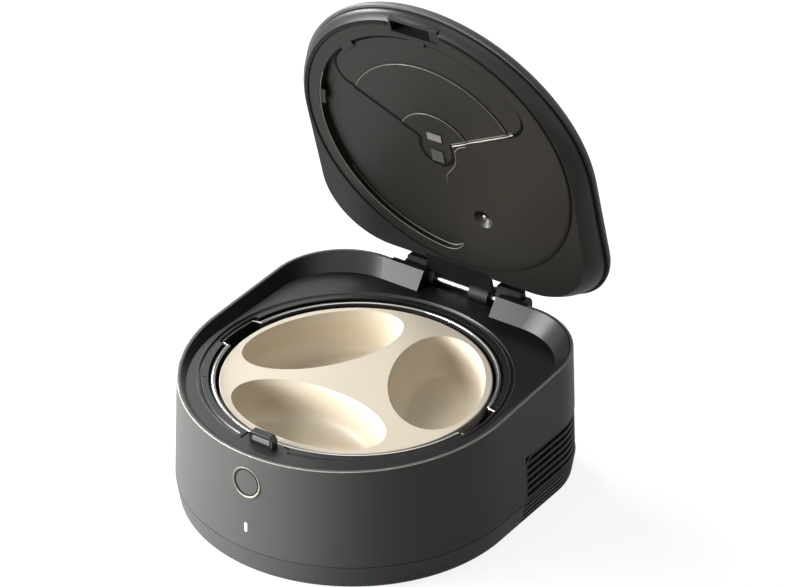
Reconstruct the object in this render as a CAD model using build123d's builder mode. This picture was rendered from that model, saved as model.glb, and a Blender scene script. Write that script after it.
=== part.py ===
import math
import os

from build123d import *

os.makedirs("parts", exist_ok=True)

# The frame: X to the right, Y to the hinge, Z up, floor at Z = 0.
# The origin in X and Y is the axis that the food tray turns about.

# Body plan, taken at the height WAIST_Z
WAIST_Z = 104.0
DRAFT = 2.7
HALF = 135.3
CENTRE_Y = 0.8
REAR = HALF + 7.0
FRONT = HALF + 2.9
CORNER = 62.6
WALL = 2.2
SEAM_Z = 23.0
SEAM_GAP = 0.3
SEAT = 0.3

# Sloping rim of the body
RIM_Z = 111.1
RIM_TILT = 2.7
RIM_PLANE = Plane.XY.offset(RIM_Z).rotated((RIM_TILT, 0, 0))

# Bottom pan
FLOOR_Z = 1.5
PAN_DRAFT = 8.0
PAN_WALL = 2.6
LIP_HIGH = 3.5
PAN_TOP_Z = SEAM_Z - SEAM_GAP
FOOT_R = 9.0
FOOT_RECESS = 0.8
FEET = [(-92, -62), (92, -62), (-92, 104), (92, 104)]
FOOT_AT = [(0, 0), *FEET]
SCREW_R = 1.5
SCREW_HEAD_R = 3.0
SCREW_HEAD = 2.0
SCREW_TOP = 34.0

# Deck
DECK_Z = 103.85
DECK_THICK = 2.6
DECK_HOLE_R = 113.0
NOTCH_R = 117.2
NOTCH_HALF = 11.5
GROOVE_IN = 118.3
GROOVE_OUT = 121.0
GROOVE_DEEP = 1.4
GROOVE_GAP = 22.5
GROOVE_SLOPE = 35.0
BEVEL_HALF = HALF - 11.1
BEVEL_REAR = REAR - 13.9
BEVEL_FRONT = FRONT - 5.2
BEVEL_CORNER = 57.0
RIM_WIDE = 3.7
RIM_FRONT = 3.1
MARK_AT = (92, -70)
MARK_SIZE = (4, 0.8)
MARK_DEEP = 0.4
DRAIN_AT = (1.6, 137)
DRAIN_R = 1.0
GAP_LEFT = -32.4
GAP_RIGHT = 36.6
EDGE_ROUND = 0.8

# Hinge
HINGE_Y = 151.2
HINGE_Z = 106.8
ROD_R = 3.75
RUN = 0.05
LID_OPEN = 74.0
KNUCKLE_R = 9.4
KNUCKLE_LEFT = -34.8
KNUCKLE_RIGHT = 37.8
KNUCKLE_OUT = 57.0
COVER_HALF = 64.7
COVER_Y = REAR - 1.6
COVER_Z = 84.0
COVER_ROOM = 36.0
TROUGH_R = 9.4
HINGE_PLANE = Plane(origin=(0, HINGE_Y, HINGE_Z), x_dir=(0, 1, 0), z_dir=(1, 0, 0))

# Food tray and its well
TRAY_R = 105.0
TRAY_Z = 100.0
TRAY_THICK = 2.2
BOWL_LONG = 67.0
BOWL_SHORT = 37.3
BOWL_OFF = 62.0
BOWL_DEEP = 32.0
# how far down, and how far in along the short and the long axis
BOWL_PROFILE = ((0, 0, 0), (0.5, 2.6, 1.8), (0.84, 6.6, 4.6), (0.97, 11.6, 8.2), (1, 16.5, 12.5))
SKIRT = 9.0
POT_IN = 107.5
POT_WALL = 1.2
POT_FLANGE = 111.0
POT_TOP = 101.6
POT_FLANGE_THICK = 1.0
POT_FLOOR = 60.0
POT_BEND = 7.0
BUSH_R = 6.5
BULGE_R = 116.6
BULGE_BAND = 1.2
BULGE_DEEP = 12.0
POT_EDGE = 0.7

# Turntable drive
HUB_R = 20.0
SHAFT_R = 4.0
SHAFT_BOTTOM = 38.6
HUB_BOTTOM = 63.0
HUB_SHELF = 85.0
HEX_R = 12.0
HEX_PLAY = 0.3
MODULE = 1.0
TABLE_TEETH = 45
PINION_TEETH = 15
GEAR_Z = 40.0
GEAR_THICK = 5.0
MESH_PHASE = 0.0
MOTOR_ANGLE = 180
MOTOR_R = 17.0
MOTOR_SHAFT_R = 2.5
MOTOR_TOP = 36.0

# Cooling
INSULATION_R = 122.0
CHASSIS_Z = 48.7
CHASSIS_THICK = 3.0
CHASSIS_IN = 6.0
COLD_AT = (50, 50)
COLD_SIZE = 36.0
SINK_AT = (58, 56)
SINK_SIZE = 68.0
SINK_TOP = 45.4
SINK_BASE = 4.0
ELEMENT_THICK = 4.0
FIN_HIGH = 16.0
FAN_THICK = 15.0
FAN_HOLE_R = 31.0
ROTOR_R = 29.5
BLADE_RAKE = 35

# Vents
VENT_Y = 28.4
VENT_X = 60.0
VENT_TOP = 63.0
VENT_CORNER = 12.0
VENT_BORDER = 2.5
SLOT_PITCH = 6.0
SLOT_HIGH = 3.5
SLAT_DEEP = 2.2
RIB_DEEP = 3.0
RIB_WIDE = 2.0
PAN_SLOT_PITCH = 4.4
PAN_SLOT_HIGH = 2.2

# Electrics
BOARD_AT = (-72, 66)
BOARD_SIZE = (60.0, 44.0)
BOARD_Z = 9.0
INLET_X = -40.0
INLET_Z = 13.0
INLET_SIZE = (14.0, 11.0)
INLET_Y = REAR + 2.4
INLET_DEEP = 16.0
INLET_R = 3.2

# Front controls
BUTTON_Z = 81.0
BUTTON_R = 10.5
BUTTON_RING_R = 13.0
BUTTON_PLAY = 0.3
BUTTON_THROW = 0.8
BOARD_FRONT = FRONT - 11.2
BOARD_WIDE = 30.0
FRONT_ROOM = 40.0
SWITCH_DEEP = 3.0
LIGHT_Z = 42.0
LIGHT_WIDE = 2.5
LIGHT_HIGH = 8.0

# Latch on the deck
LATCH_HALF = 10.4
LATCH_FRONT = -120.8
LATCH_REAR = -113.6
LATCH_TOP = 112.6
LATCH_RECESS = 0.8
BOLT_HALF = 8.0
BOLT_HIGH = 4.6
BOLT_Z = DECK_Z + 2.0
BOLT_WALL = 1.6

# Lid, in coordinates of the shut lid that turn with it
LID_FACE_Z = DECK_Z + SEAT
FACE_IN = 1.6
FACE_FRONT = 121.5
FLANK_H = 4.6
FLANK_SHARE = 0.62
FLANK_REAR = 0.34
LID_SEAM_H = 15.4
LID_SEAM_TILT = 2.5
# share of the height, of the way out, and of the way out at the rear
FLANK_STEPS = ((0, 0, 0), (FLANK_H / LID_SEAM_H, FLANK_SHARE, FLANK_REAR), (1, 1, 1))
LID_IN = 3.0
SHELL_CENTRE_Y = 2.9
SHELL_FRONT = FRONT - 9.5
SHELL_REAR_IN = 0.5
SHELL_HIGH = 8.8
SHELL_ROUND = 7.6
SHELL_LIP = 0.6
SEAM_IN = 2.7
SKIN = 2.2
POCKET_R = 107.5
POCKET_DEEP = 5.0
POCKET_FLOOR = 2.0
WINDOW_ANGLE = 62.3
SWING = 124.0
POCKET_START = 270 - WINDOW_ANGLE - SWING - 0.8
POCKET_STOP = 270 + WINDOW_ANGLE + 0.8
HUB_POCKET_R = 17.0
SHUTTER_R = 106.0
SHUTTER_LOW = 2.2
SHUTTER_BACK = 4.6
SHUTTER_CORNER = 19.0
CLIP_TURNS = (-50, -90, -130, -170)
CLIP_HALF = 4.0
CLIP_IN = 103.0
CLIP_OUT = 108.9
CLIP_LOW = 0.2
CLIP_THICK = 1.4
FEED_IN = 27.0
FEED_OUT = 100.0
FEED_ANGLE = 56.0
FEED_CORNER = 14.0
FEED_ROOT = 6.0
CHUTE = 2.0
GASKET_IN = 118.2
GASKET_OUT = 121.8
GASKET_DEEP = 1.2
GASKET_LIP = 0.9
LIP_IN = 119.0
LIP_OUT = 120.3
CATCH_HALF = 22.0
CATCH_FRONT = -122.9
CATCH_REAR = -109.7
CATCH_HIGH = 12.0
CATCH_WALL = 1.6
CATCH_BLOCK = 14.0
ARM_LOW = 0.4
ARM_THICK = 2.8
ARM_R = 8.6
ARM_RIGHT = (7, 25)
ARM_LEFT = (-31.8, -27)
TONGUE_LEFT = -31.9
TONGUE_RIGHT = 28.0
TONGUE_FRONT = 123.2
TONGUE_REAR = 145.4
SPINDLE_R = 5.0
SPINDLE_TOP = 13.0
LID_GEAR_H = 8.0
LID_GEAR_THICK = 4.0
LID_MOTOR_HIGH = 7.0
LID_MESH_PHASE = 15.0
SHUTTER_TEETH = 30
SHUTTER_PINION_TEETH = 12
DRIVE_ANGLE = 60
SENSOR_AT = (33, 61)
SENSOR_R = 2.4
DIMPLE_R = 8.5

OPEN = math.radians(LID_OPEN)
LID = Plane(
    origin=(
        0,
        HINGE_Y - HINGE_Y * math.cos(OPEN) + (LID_FACE_Z - HINGE_Z) * math.sin(OPEN),
        HINGE_Z + HINGE_Y * math.sin(OPEN) + (LID_FACE_Z - HINGE_Z) * math.cos(OPEN),
    ),
    x_dir=(1, 0, 0),
    z_dir=(0, math.sin(OPEN), math.cos(OPEN)),
)
LID_HINGE = Plane(origin=(0, HINGE_Y, HINGE_Z), x_dir=LID.y_dir, z_dir=(1, 0, 0))
LID_SEAM = LID.offset(LID_SEAM_H).rotated((LID_SEAM_TILT, 0, 0))
SEAM_AXIS = Axis(LID_SEAM.origin, LID_SEAM.z_dir)


def d_face(half, rear, corner, front, centre_y=CENTRE_Y):
    """A flat D: round at the front, straight sides, rounded rear corners."""
    bend = corner * (1 - math.sqrt(0.5))
    with BuildSketch() as face:
        with BuildLine():
            Line((half, centre_y), (half, rear - corner))
            ThreePointArc((half, rear - corner), (half - bend, rear - bend), (half - corner, rear))
            Line((half - corner, rear), (corner - half, rear))
            ThreePointArc((corner - half, rear), (bend - half, rear - bend), (-half, rear - corner))
            Line((-half, rear - corner), (-half, centre_y))
            ThreePointArc((-half, centre_y), (0, -front), (half, centre_y))
        make_face()
    return face.sketch


def wall_face(inset, z):
    """The body's outline at the height z, moved inwards by inset."""
    grow = (WAIST_Z - z) * math.tan(math.radians(DRAFT)) - inset
    return d_face(HALF + grow, REAR + grow, CORNER + grow, FRONT + grow)


def pan_face(inset):
    """The pan's outline at its top edge, moved inwards by inset."""
    return wall_face(inset, PAN_TOP_Z)


def shell_face(inset):
    """The lid's outline on its seam plane, moved inwards by inset."""
    gap = LID_IN + inset
    rear = REAR - SHELL_REAR_IN - inset
    return d_face(HALF - gap, rear, CORNER - inset, SHELL_FRONT - inset, SHELL_CENTRE_Y)


def flank_face(share, rear_share, inset):
    """The lid panel's outline between its face, at share 0, and its seam, at share 1."""
    seam = SEAM_IN + inset
    sizes = (
        (BEVEL_HALF - FACE_IN - inset, HALF - LID_IN - seam, share),
        (BEVEL_REAR - FACE_IN - inset, REAR - SHELL_REAR_IN - seam, rear_share),
        (BEVEL_CORNER - FACE_IN - inset, CORNER - seam, rear_share),
        (FACE_FRONT - inset, SHELL_FRONT - seam, share),
        (BEVEL_HALF - FACE_IN - FACE_FRONT, SHELL_CENTRE_Y, share),
    )
    return d_face(*[low + part * (high - low) for low, high, part in sizes])


def flank_plane(share, lift):
    """The plane of the flank outline at this share of the height, moved up by lift."""
    return LID.offset(LID_SEAM_H * share + lift).rotated((LID_SEAM_TILT * share, 0, 0))


def sector_face(r_in, r_out, start, stop, corner=0.0, inner_corner=0.0):
    """A ring sector from start to stop degrees, with its corners rounded."""
    mid = math.radians((start + stop) / 2)
    a = math.radians(start)
    b = math.radians(stop)
    with BuildSketch() as face:
        with BuildLine():
            outer = [(r_out * math.cos(t), r_out * math.sin(t)) for t in (a, mid, b)]
            inner = [(r_in * math.cos(t), r_in * math.sin(t)) for t in (b, mid, a)]
            ThreePointArc(*outer)
            Line(outer[2], inner[0])
            ThreePointArc(*inner)
            Line(inner[2], outer[0])
        make_face()
        rim = face.vertices().filter_by(lambda v: v.distance_to((0, 0, 0)) > (r_in + r_out) / 2)
        root = face.vertices().filter_by(lambda v: v.distance_to((0, 0, 0)) < (r_in + r_out) / 2)
        if corner > 0:
            fillet(rim, corner)
        if inner_corner > 0:
            fillet(root, inner_corner)
    return face.sketch


def gear_face(teeth, phase=0.0):
    """A spur gear's outline with straight-sided teeth and room in the mesh."""
    pitch_r = MODULE * teeth / 2
    step = 2 * math.pi / teeth
    points = []
    for k in range(teeth):
        turn = k * step + math.radians(phase)
        for radius, share in ((-1.3, -0.36), (-0.1, -0.23), (0.85, -0.12), (0.85, 0.12), (-0.1, 0.23), (-1.3, 0.36)):
            angle = turn + share * step
            r = pitch_r + radius * MODULE
            points.append((r * math.cos(angle), r * math.sin(angle)))
    with BuildSketch() as face:
        with BuildLine():
            Polyline(*points, close=True)
        make_face()
    return face.sketch


def around(radius, angle):
    """The point at this radius and angle about the origin."""
    return (radius * math.cos(math.radians(angle)), radius * math.sin(math.radians(angle)))


nodes = {}

# Feet
with BuildPart() as feet:
    with BuildSketch():
        with Locations(*FOOT_AT):
            Circle(FOOT_R)
    extrude(amount=FLOOR_Z + FOOT_RECESS)
    fillet(feet.faces().filter_by(Axis.Z).group_by(Axis.Z)[0].edges(), 0.5)
nodes["feet"] = feet

# Bottom pan: a shallow tub that curves in to the floor
with BuildPart() as bottom_pan:
    with BuildSketch(Plane.XY.offset(PAN_TOP_Z)):
        add(pan_face(0))
    extrude(amount=FLOOR_Z - PAN_TOP_Z, taper=PAN_DRAFT)
    fillet(bottom_pan.faces().sort_by(Axis.Z)[0].edges(), 6.5)
    with BuildSketch(Plane.XY.offset(PAN_TOP_Z)):
        add(pan_face(PAN_WALL))
    extrude(amount=FLOOR_Z + PAN_WALL - PAN_TOP_Z, taper=PAN_DRAFT, mode=Mode.SUBTRACT)
    with BuildSketch(Plane.XY.offset(FLOOR_Z)):
        with Locations(*FOOT_AT):
            Circle(FOOT_R + RUN)
    extrude(amount=FOOT_RECESS, mode=Mode.SUBTRACT)
    # lip that the body shell drops over
    with BuildSketch(Plane.XY.offset(SEAM_Z - 6)):
        add(pan_face(WALL + 0.8))
        add(pan_face(WALL + 2.8), mode=Mode.SUBTRACT)
    extrude(amount=5.5 + LIP_HIGH)
    # screw posts
    with BuildSketch(Plane.XY.offset(FLOOR_Z + PAN_WALL - 0.5)):
        with Locations(*FEET):
            Circle(5)
    extrude(amount=SEAM_Z - FLOOR_Z - PAN_WALL)
    with BuildSketch(Plane.XY.offset(FLOOR_Z)):
        with Locations(*FEET):
            Circle(SCREW_R + 0.1)
    extrude(amount=SEAM_Z, mode=Mode.SUBTRACT)
    with BuildSketch(Plane.XY.offset(FLOOR_Z)):
        with Locations(*FEET):
            Circle(SCREW_HEAD_R + 0.1)
    extrude(amount=FOOT_RECESS + SCREW_HEAD + 0.3, mode=Mode.SUBTRACT)
    # fan intake grid
    with BuildSketch(Plane.XY.offset(FLOOR_Z)):
        with Locations(SINK_AT):
            with GridLocations(0, 7, 1, 8):
                SlotOverall(54, 3.4)
    extrude(amount=PAN_WALL, mode=Mode.SUBTRACT)
    # low side slots, both sides
    for k in range(4):
        with BuildSketch(Plane.XY.offset(PAN_TOP_Z - 3.6 - k * PAN_SLOT_PITCH)):
            add(pan_face(-2))
            add(pan_face(1.6 + 0.62 * (k + 1)), mode=Mode.SUBTRACT)
            with Locations((0, VENT_Y - 203)):
                Rectangle(400, 400, mode=Mode.SUBTRACT)
            Rectangle(2 * VENT_X, 400, mode=Mode.SUBTRACT)
        extrude(amount=PAN_SLOT_HIGH, mode=Mode.SUBTRACT)
    # hole for the power inlet
    with BuildSketch(Plane.XZ.offset(-150)):
        with Locations((INLET_X, INLET_Z)):
            Rectangle(INLET_SIZE[0] + 0.4, INLET_SIZE[1] + 0.4)
    extrude(amount=20, both=True, mode=Mode.SUBTRACT)
nodes["bottom_pan"] = bottom_pan

# Body shell: the outer wall, cut off by the sloping rim
with BuildPart() as body_shell:
    with BuildSketch(Plane.XY.offset(SEAM_Z + SEAM_GAP)):
        add(wall_face(0, SEAM_Z + SEAM_GAP))
    extrude(amount=100, taper=DRAFT)
    with BuildSketch(Plane.XY.offset(SEAM_Z + SEAM_GAP)):
        add(wall_face(WALL, SEAM_Z + SEAM_GAP))
    extrude(amount=100, taper=DRAFT, mode=Mode.SUBTRACT)
    split(bisect_by=RIM_PLANE, keep=Keep.BOTTOM)
    fillet(body_shell.faces().sort_by(Axis.Z)[-1].outer_wire().edges(), EDGE_ROUND)
    # opening for the hinge cover
    with BuildSketch(Plane.XZ.offset(-170)):
        with Locations((0, COVER_Z + 30)):
            Rectangle(2 * COVER_HALF + 2 * SEAT, 60 + 2 * SEAT)
    extrude(amount=COVER_ROOM, mode=Mode.SUBTRACT)
    # openings for the vent grilles
    for side in (1, -1):
        with BuildSketch(Plane.YZ.offset(VENT_X * side)):
            with BuildLine():
                Polyline((VENT_Y, 0), (VENT_Y, VENT_TOP), (200, VENT_TOP), (200, 0), close=True)
            make_face()
        extrude(amount=100 * side, mode=Mode.SUBTRACT)
    # holes for the button ring and the indicator light
    with BuildSketch(Plane.XZ.offset(FRONT - FRONT_ROOM)):
        with Locations((0, BUTTON_Z)):
            Circle(BUTTON_RING_R + 0.1)
        with Locations((0, LIGHT_Z)):
            SlotOverall(LIGHT_HIGH + 0.2, LIGHT_WIDE + 0.2, rotation=90)
    extrude(amount=60, mode=Mode.SUBTRACT)
nodes["body_shell"] = body_shell


def vent_profile(border):
    """The grille's side view, with its rounded top front corner."""
    with BuildSketch() as face:
        with BuildLine():
            front = VENT_Y + border
            top = VENT_TOP - border
            r = VENT_CORNER - border
            bend = r * (1 - math.sqrt(0.5))
            Line((front, SEAM_Z + SEAM_GAP + border), (front, top - r))
            ThreePointArc((front, top - r), (front + bend, top - bend), (front + r, top))
            Line((front + r, top), (200, top))
            Line((200, top), (200, SEAM_Z + SEAM_GAP + border))
            Line((200, SEAM_Z + SEAM_GAP + border), (front, SEAM_Z + SEAM_GAP + border))
        make_face()
    return face.sketch


# Vent grilles: slats on the outside, upright ribs behind them
for side, name in ((1, "vent_grille_right"), (-1, "vent_grille_left")):
    with BuildPart() as slots:
        for k in range(7):
            with BuildSketch(Plane.XY.offset(VENT_TOP - 4.5 - SLOT_HIGH - k * SLOT_PITCH + 1.5)):
                add(wall_face(-4, SEAM_Z))
                add(wall_face(SLAT_DEEP + 0.4, SEAM_Z + 40), mode=Mode.SUBTRACT)
            extrude(amount=SLOT_HIGH)
        with BuildSketch(Plane.YZ.offset((VENT_X + VENT_BORDER) * side)):
            add(vent_profile(VENT_BORDER))
        extrude(amount=100 * side, mode=Mode.INTERSECT)
    with BuildPart() as grille:
        with BuildSketch(Plane.XY.offset(SEAM_Z + SEAM_GAP)):
            add(wall_face(0.4, SEAM_Z + SEAM_GAP))
        extrude(amount=60, taper=DRAFT)
        with BuildSketch(Plane.XY.offset(SEAM_Z + SEAM_GAP)):
            add(wall_face(0.4 + SLAT_DEEP, SEAM_Z + SEAM_GAP))
        extrude(amount=60, taper=DRAFT, mode=Mode.SUBTRACT)
        with BuildSketch(Plane.YZ.offset(VENT_X * side)):
            add(vent_profile(0.1))
        extrude(amount=100 * side, mode=Mode.INTERSECT)
        add(slots.part, mode=Mode.SUBTRACT)
    with BuildPart() as ribs:
        with BuildSketch(Plane.XY.offset(SEAM_Z + LIP_HIGH)):
            add(wall_face(SLAT_DEEP, SEAM_Z + LIP_HIGH))
        extrude(amount=60, taper=DRAFT)
        with BuildSketch(Plane.XY.offset(SEAM_Z + LIP_HIGH)):
            add(wall_face(SLAT_DEEP + RIB_DEEP, SEAM_Z + LIP_HIGH))
        extrude(amount=60, taper=DRAFT, mode=Mode.SUBTRACT)
        with BuildSketch(Plane.XY.offset(SEAM_Z + SEAM_GAP)):
            for y in (VENT_Y + 20, VENT_Y + 40):
                with Locations((side * HALF, y)):
                    Rectangle(40, RIB_WIDE)
            for turn in (0, 22.5, 45, 67.5, 90):
                with Locations(Location((side * (HALF - CORNER), REAR - CORNER), 90 - side * (90 - turn))):
                    with Locations((CORNER, 0)):
                        Rectangle(40, RIB_WIDE)
        extrude(amount=60, mode=Mode.INTERSECT)
        with BuildSketch(Plane.YZ.offset(VENT_X * side)):
            add(vent_profile(0.1))
        extrude(amount=100 * side, mode=Mode.INTERSECT)
    with BuildPart() as vent_grille:
        add(grille.part)
        add(ribs.part)
    nodes[name] = vent_grille

# Deck: the black plate round the well, with a bevelled wall up to the rim
with BuildPart() as deck:
    with BuildSketch(Plane.XY.offset(DECK_Z - DECK_THICK)):
        add(wall_face(WALL + SEAT, DECK_Z - DECK_THICK))
    extrude(amount=30, taper=DRAFT)
    split(bisect_by=RIM_PLANE, keep=Keep.BOTTOM)
    with BuildSketch(Plane.XY.offset(DECK_Z)):
        add(d_face(BEVEL_HALF, BEVEL_REAR, BEVEL_CORNER, BEVEL_FRONT, 0))
    with BuildSketch(RIM_PLANE):
        add(d_face(HALF - RIM_WIDE, REAR - RIM_WIDE, CORNER - RIM_WIDE, FRONT - RIM_FRONT))
    loft(mode=Mode.SUBTRACT)
    # the well's hole, with a finger notch on each side
    with BuildSketch(Plane.XY.offset(DECK_Z - DECK_THICK)):
        Circle(DECK_HOLE_R)
        add(sector_face(DECK_HOLE_R - 3, NOTCH_R, -NOTCH_HALF, NOTCH_HALF, 2))
        add(sector_face(DECK_HOLE_R - 3, NOTCH_R, 180 - NOTCH_HALF, 180 + NOTCH_HALF, 2))
    extrude(amount=DECK_THICK, mode=Mode.SUBTRACT)
    # groove for the lid's gasket
    with BuildSketch(Plane.XY.offset(DECK_Z)):
        half_gap = math.degrees(math.asin(GROOVE_GAP / GROOVE_OUT))
        add(sector_face(GROOVE_IN, GROOVE_OUT, half_gap - 90, 270 - half_gap, 1.1, 1.1))
    extrude(amount=-GROOVE_DEEP, taper=GROOVE_SLOPE, mode=Mode.SUBTRACT)
    # index marks and the drain dot
    with BuildSketch(Plane.XY.offset(DECK_Z)):
        turn = math.degrees(math.atan2(MARK_AT[1], MARK_AT[0]))
        with Locations(Location((-MARK_AT[0], MARK_AT[1]), -turn), Location(MARK_AT, turn)):
            Rectangle(*MARK_SIZE)
        with Locations(DRAIN_AT):
            Circle(DRAIN_R)
    extrude(amount=-MARK_DEEP, mode=Mode.SUBTRACT)
    # recess and hole for the latch
    with BuildSketch(Plane.XY.offset(DECK_Z)):
        with Locations((1, LATCH_FRONT + 4.2)):
            Rectangle(40, 9.2)
    extrude(amount=-LATCH_RECESS, mode=Mode.SUBTRACT)
    with BuildSketch(Plane.XY.offset(DECK_Z)):
        with Locations((0, (LATCH_FRONT + LATCH_REAR) / 2)):
            Rectangle(2 * LATCH_HALF - 4 + 0.2, LATCH_REAR - LATCH_FRONT - 4 + 0.2)
    extrude(amount=-DECK_THICK, mode=Mode.SUBTRACT)
    # gap for the hinge arm, and the seat of the hinge cover
    with BuildSketch(Plane.XY.offset(DECK_Z)):
        with Locations(((GAP_LEFT + GAP_RIGHT) / 2, 140)):
            Rectangle(GAP_RIGHT - GAP_LEFT, 30)
    extrude(amount=30, mode=Mode.SUBTRACT)
    with BuildSketch(Plane.XY.offset(DECK_Z - DECK_THICK)):
        with Locations((0, COVER_Y - SEAT + 20)):
            Rectangle(2 * COVER_HALF + 2 * SEAT, 40)
    extrude(amount=30, mode=Mode.SUBTRACT)
nodes["deck"] = deck

# Hinge cover: rear insert of the body with the two fixed knuckles
with BuildPart() as hinge_cover:
    with BuildSketch(Plane.XY.offset(COVER_Z)):
        add(wall_face(0, COVER_Z))
        with Locations((0, COVER_Y - 200)):
            Rectangle(400, 400, mode=Mode.SUBTRACT)
        for side in (1, -1):
            with Locations((side * (COVER_HALF + 50), 150)):
                Rectangle(100, 40, mode=Mode.SUBTRACT)
    extrude(amount=50, taper=0)
    split(bisect_by=RIM_PLANE, keep=Keep.BOTTOM)
    with BuildSketch(HINGE_PLANE.offset(-KNUCKLE_OUT)):
        Circle(KNUCKLE_R)
        with BuildLine():
            Polyline((KNUCKLE_R, 0), (-3, -19), (-12, -19), (-12, 0), close=True)
        make_face()
    extrude(amount=2 * KNUCKLE_OUT)
    with BuildSketch(Plane.XY.offset(COVER_Z)):
        with Locations((0, COVER_Y - 20)):
            Rectangle(2 * COVER_HALF, 40)
    extrude(amount=60, mode=Mode.SUBTRACT)
    # trough that the lid's arm turns in
    with BuildSketch(HINGE_PLANE.offset(KNUCKLE_LEFT)):
        Circle(TROUGH_R)
        with Locations((-15, 14 + DECK_Z - HINGE_Z)):
            Rectangle(30, 28)
    extrude(amount=KNUCKLE_RIGHT - KNUCKLE_LEFT, mode=Mode.SUBTRACT)
    with BuildSketch(HINGE_PLANE.offset(-KNUCKLE_OUT - 1)):
        Circle(ROD_R)
    extrude(amount=2 * KNUCKLE_OUT + 2, mode=Mode.SUBTRACT)
nodes["hinge_cover"] = hinge_cover

with BuildPart() as hinge_rod:
    with BuildSketch(HINGE_PLANE.offset(0.3 - KNUCKLE_OUT)):
        Circle(ROD_R)
    extrude(amount=2 * KNUCKLE_OUT - 0.6)
    chamfer(hinge_rod.faces().filter_by(Axis.X).edges(), 0.4)
nodes["hinge_rod"] = hinge_rod

# Cooling pot: the bright metal well under the tray
with BuildPart() as pot_inside:
    with BuildSketch(Plane.XY.offset(POT_FLOOR + POT_WALL)):
        Circle(POT_IN)
    extrude(amount=POT_TOP - POT_FLOOR)
    fillet(pot_inside.faces().sort_by(Axis.Z)[0].edges(), POT_BEND)
with BuildPart() as finger_room:
    with BuildSketch(Plane.XY.offset(POT_TOP)):
        half_turn = NOTCH_HALF - 0.4 - math.degrees(BULGE_BAND / BULGE_R)
        for turn in (0, 180):
            add(sector_face(POT_IN - 1, BULGE_R - BULGE_BAND, turn - half_turn, turn + half_turn, 1.2))
    extrude(amount=-BULGE_DEEP)


def is_pot_mouth(edge):
    """Is this the round edge at the top of the pot's inside?"""
    return abs(edge.radius - POT_IN) < 0.1 and edge.center().Z > POT_TOP - 0.1


with BuildPart() as cooling_pot:
    with BuildSketch(Plane.XY.offset(POT_FLOOR)):
        Circle(POT_IN + POT_WALL)
    extrude(amount=POT_TOP - POT_FLOOR)
    fillet(cooling_pot.faces().sort_by(Axis.Z)[0].edges(), POT_BEND + POT_WALL)
    with BuildSketch(Plane.XY.offset(POT_TOP - POT_FLANGE_THICK)):
        Circle(POT_FLANGE)
        add(sector_face(POT_IN, BULGE_R, 0.4 - NOTCH_HALF, NOTCH_HALF - 0.4, 2))
        add(sector_face(POT_IN, BULGE_R, 180.4 - NOTCH_HALF, 179.6 + NOTCH_HALF, 2))
    extrude(amount=POT_FLANGE_THICK)
    add(pot_inside.part, mode=Mode.SUBTRACT)
    fillet(cooling_pot.edges().filter_by(GeomType.CIRCLE).filter_by(is_pot_mouth), POT_EDGE)
    add(finger_room.part, mode=Mode.SUBTRACT)
    with BuildSketch(Plane.XY.offset(POT_FLOOR)):
        Circle(BUSH_R)
    extrude(amount=POT_WALL, mode=Mode.SUBTRACT)
nodes["cooling_pot"] = cooling_pot


def bowl(extra):
    """One compartment of the tray, grown by extra on every side."""
    with BuildPart() as cup:
        for down, short_in, long_in in BOWL_PROFILE:
            with BuildSketch(Plane.XY.offset(TRAY_Z - down * (BOWL_DEEP + extra))):
                Ellipse(BOWL_SHORT - short_in + extra, BOWL_LONG - long_in + extra)
        loft()
    return cup.part


# Food tray: three oval compartments in one round tray
with BuildPart() as food_tray:
    with BuildSketch(Plane.XY.offset(TRAY_Z)):
        Circle(TRAY_R)
    extrude(amount=-SKIRT)
    with BuildSketch(Plane.XY.offset(TRAY_Z - TRAY_THICK)):
        Circle(TRAY_R - TRAY_THICK)
    extrude(amount=-SKIRT, mode=Mode.SUBTRACT)
    with PolarLocations(BOWL_OFF, 3, start_angle=-90):
        add(bowl(TRAY_THICK))
    with PolarLocations(BOWL_OFF, 3, start_angle=-90):
        add(bowl(0), mode=Mode.SUBTRACT)
    fillet(food_tray.edges().filter_by(GeomType.CIRCLE).group_by(Axis.Z)[-1].sort_by(SortBy.RADIUS)[-1], 1.0)
    with BuildSketch(Plane.XY.offset(HUB_SHELF + SEAT)):
        Circle(HEX_R + HEX_PLAY + 3.5)
        RegularPolygon(HEX_R + HEX_PLAY, 6, mode=Mode.SUBTRACT)
    extrude(amount=TRAY_Z - TRAY_THICK - HUB_SHELF - SEAT + 0.1)
nodes["food_tray"] = food_tray

# Drive hub: carries the tray on a hexagon
with BuildPart() as drive_hub:
    with BuildSketch(Plane.XY.offset(HUB_BOTTOM)):
        Circle(HUB_R - 4)
    extrude(amount=HUB_SHELF - HUB_BOTTOM)
    with BuildSketch(Plane.XY.offset(HUB_SHELF - 3)):
        Circle(HUB_R)
    extrude(amount=3)
    with BuildSketch(Plane.XY.offset(HUB_SHELF)):
        RegularPolygon(HEX_R, 6)
    extrude(amount=TRAY_Z - TRAY_THICK - SEAT - HUB_SHELF)
    with BuildSketch(Plane.XY.offset(HUB_BOTTOM)):
        Circle(SHAFT_R)
    extrude(amount=HUB_SHELF - HUB_BOTTOM, mode=Mode.SUBTRACT)
nodes["drive_hub"] = drive_hub

with BuildPart() as turntable_shaft:
    with BuildSketch(Plane.XY.offset(SHAFT_BOTTOM)):
        Circle(SHAFT_R)
    extrude(amount=HUB_SHELF - SHAFT_BOTTOM - SEAT)
    chamfer(turntable_shaft.faces().filter_by(Axis.Z).edges(), 0.4)
nodes["turntable_shaft"] = turntable_shaft

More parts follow.
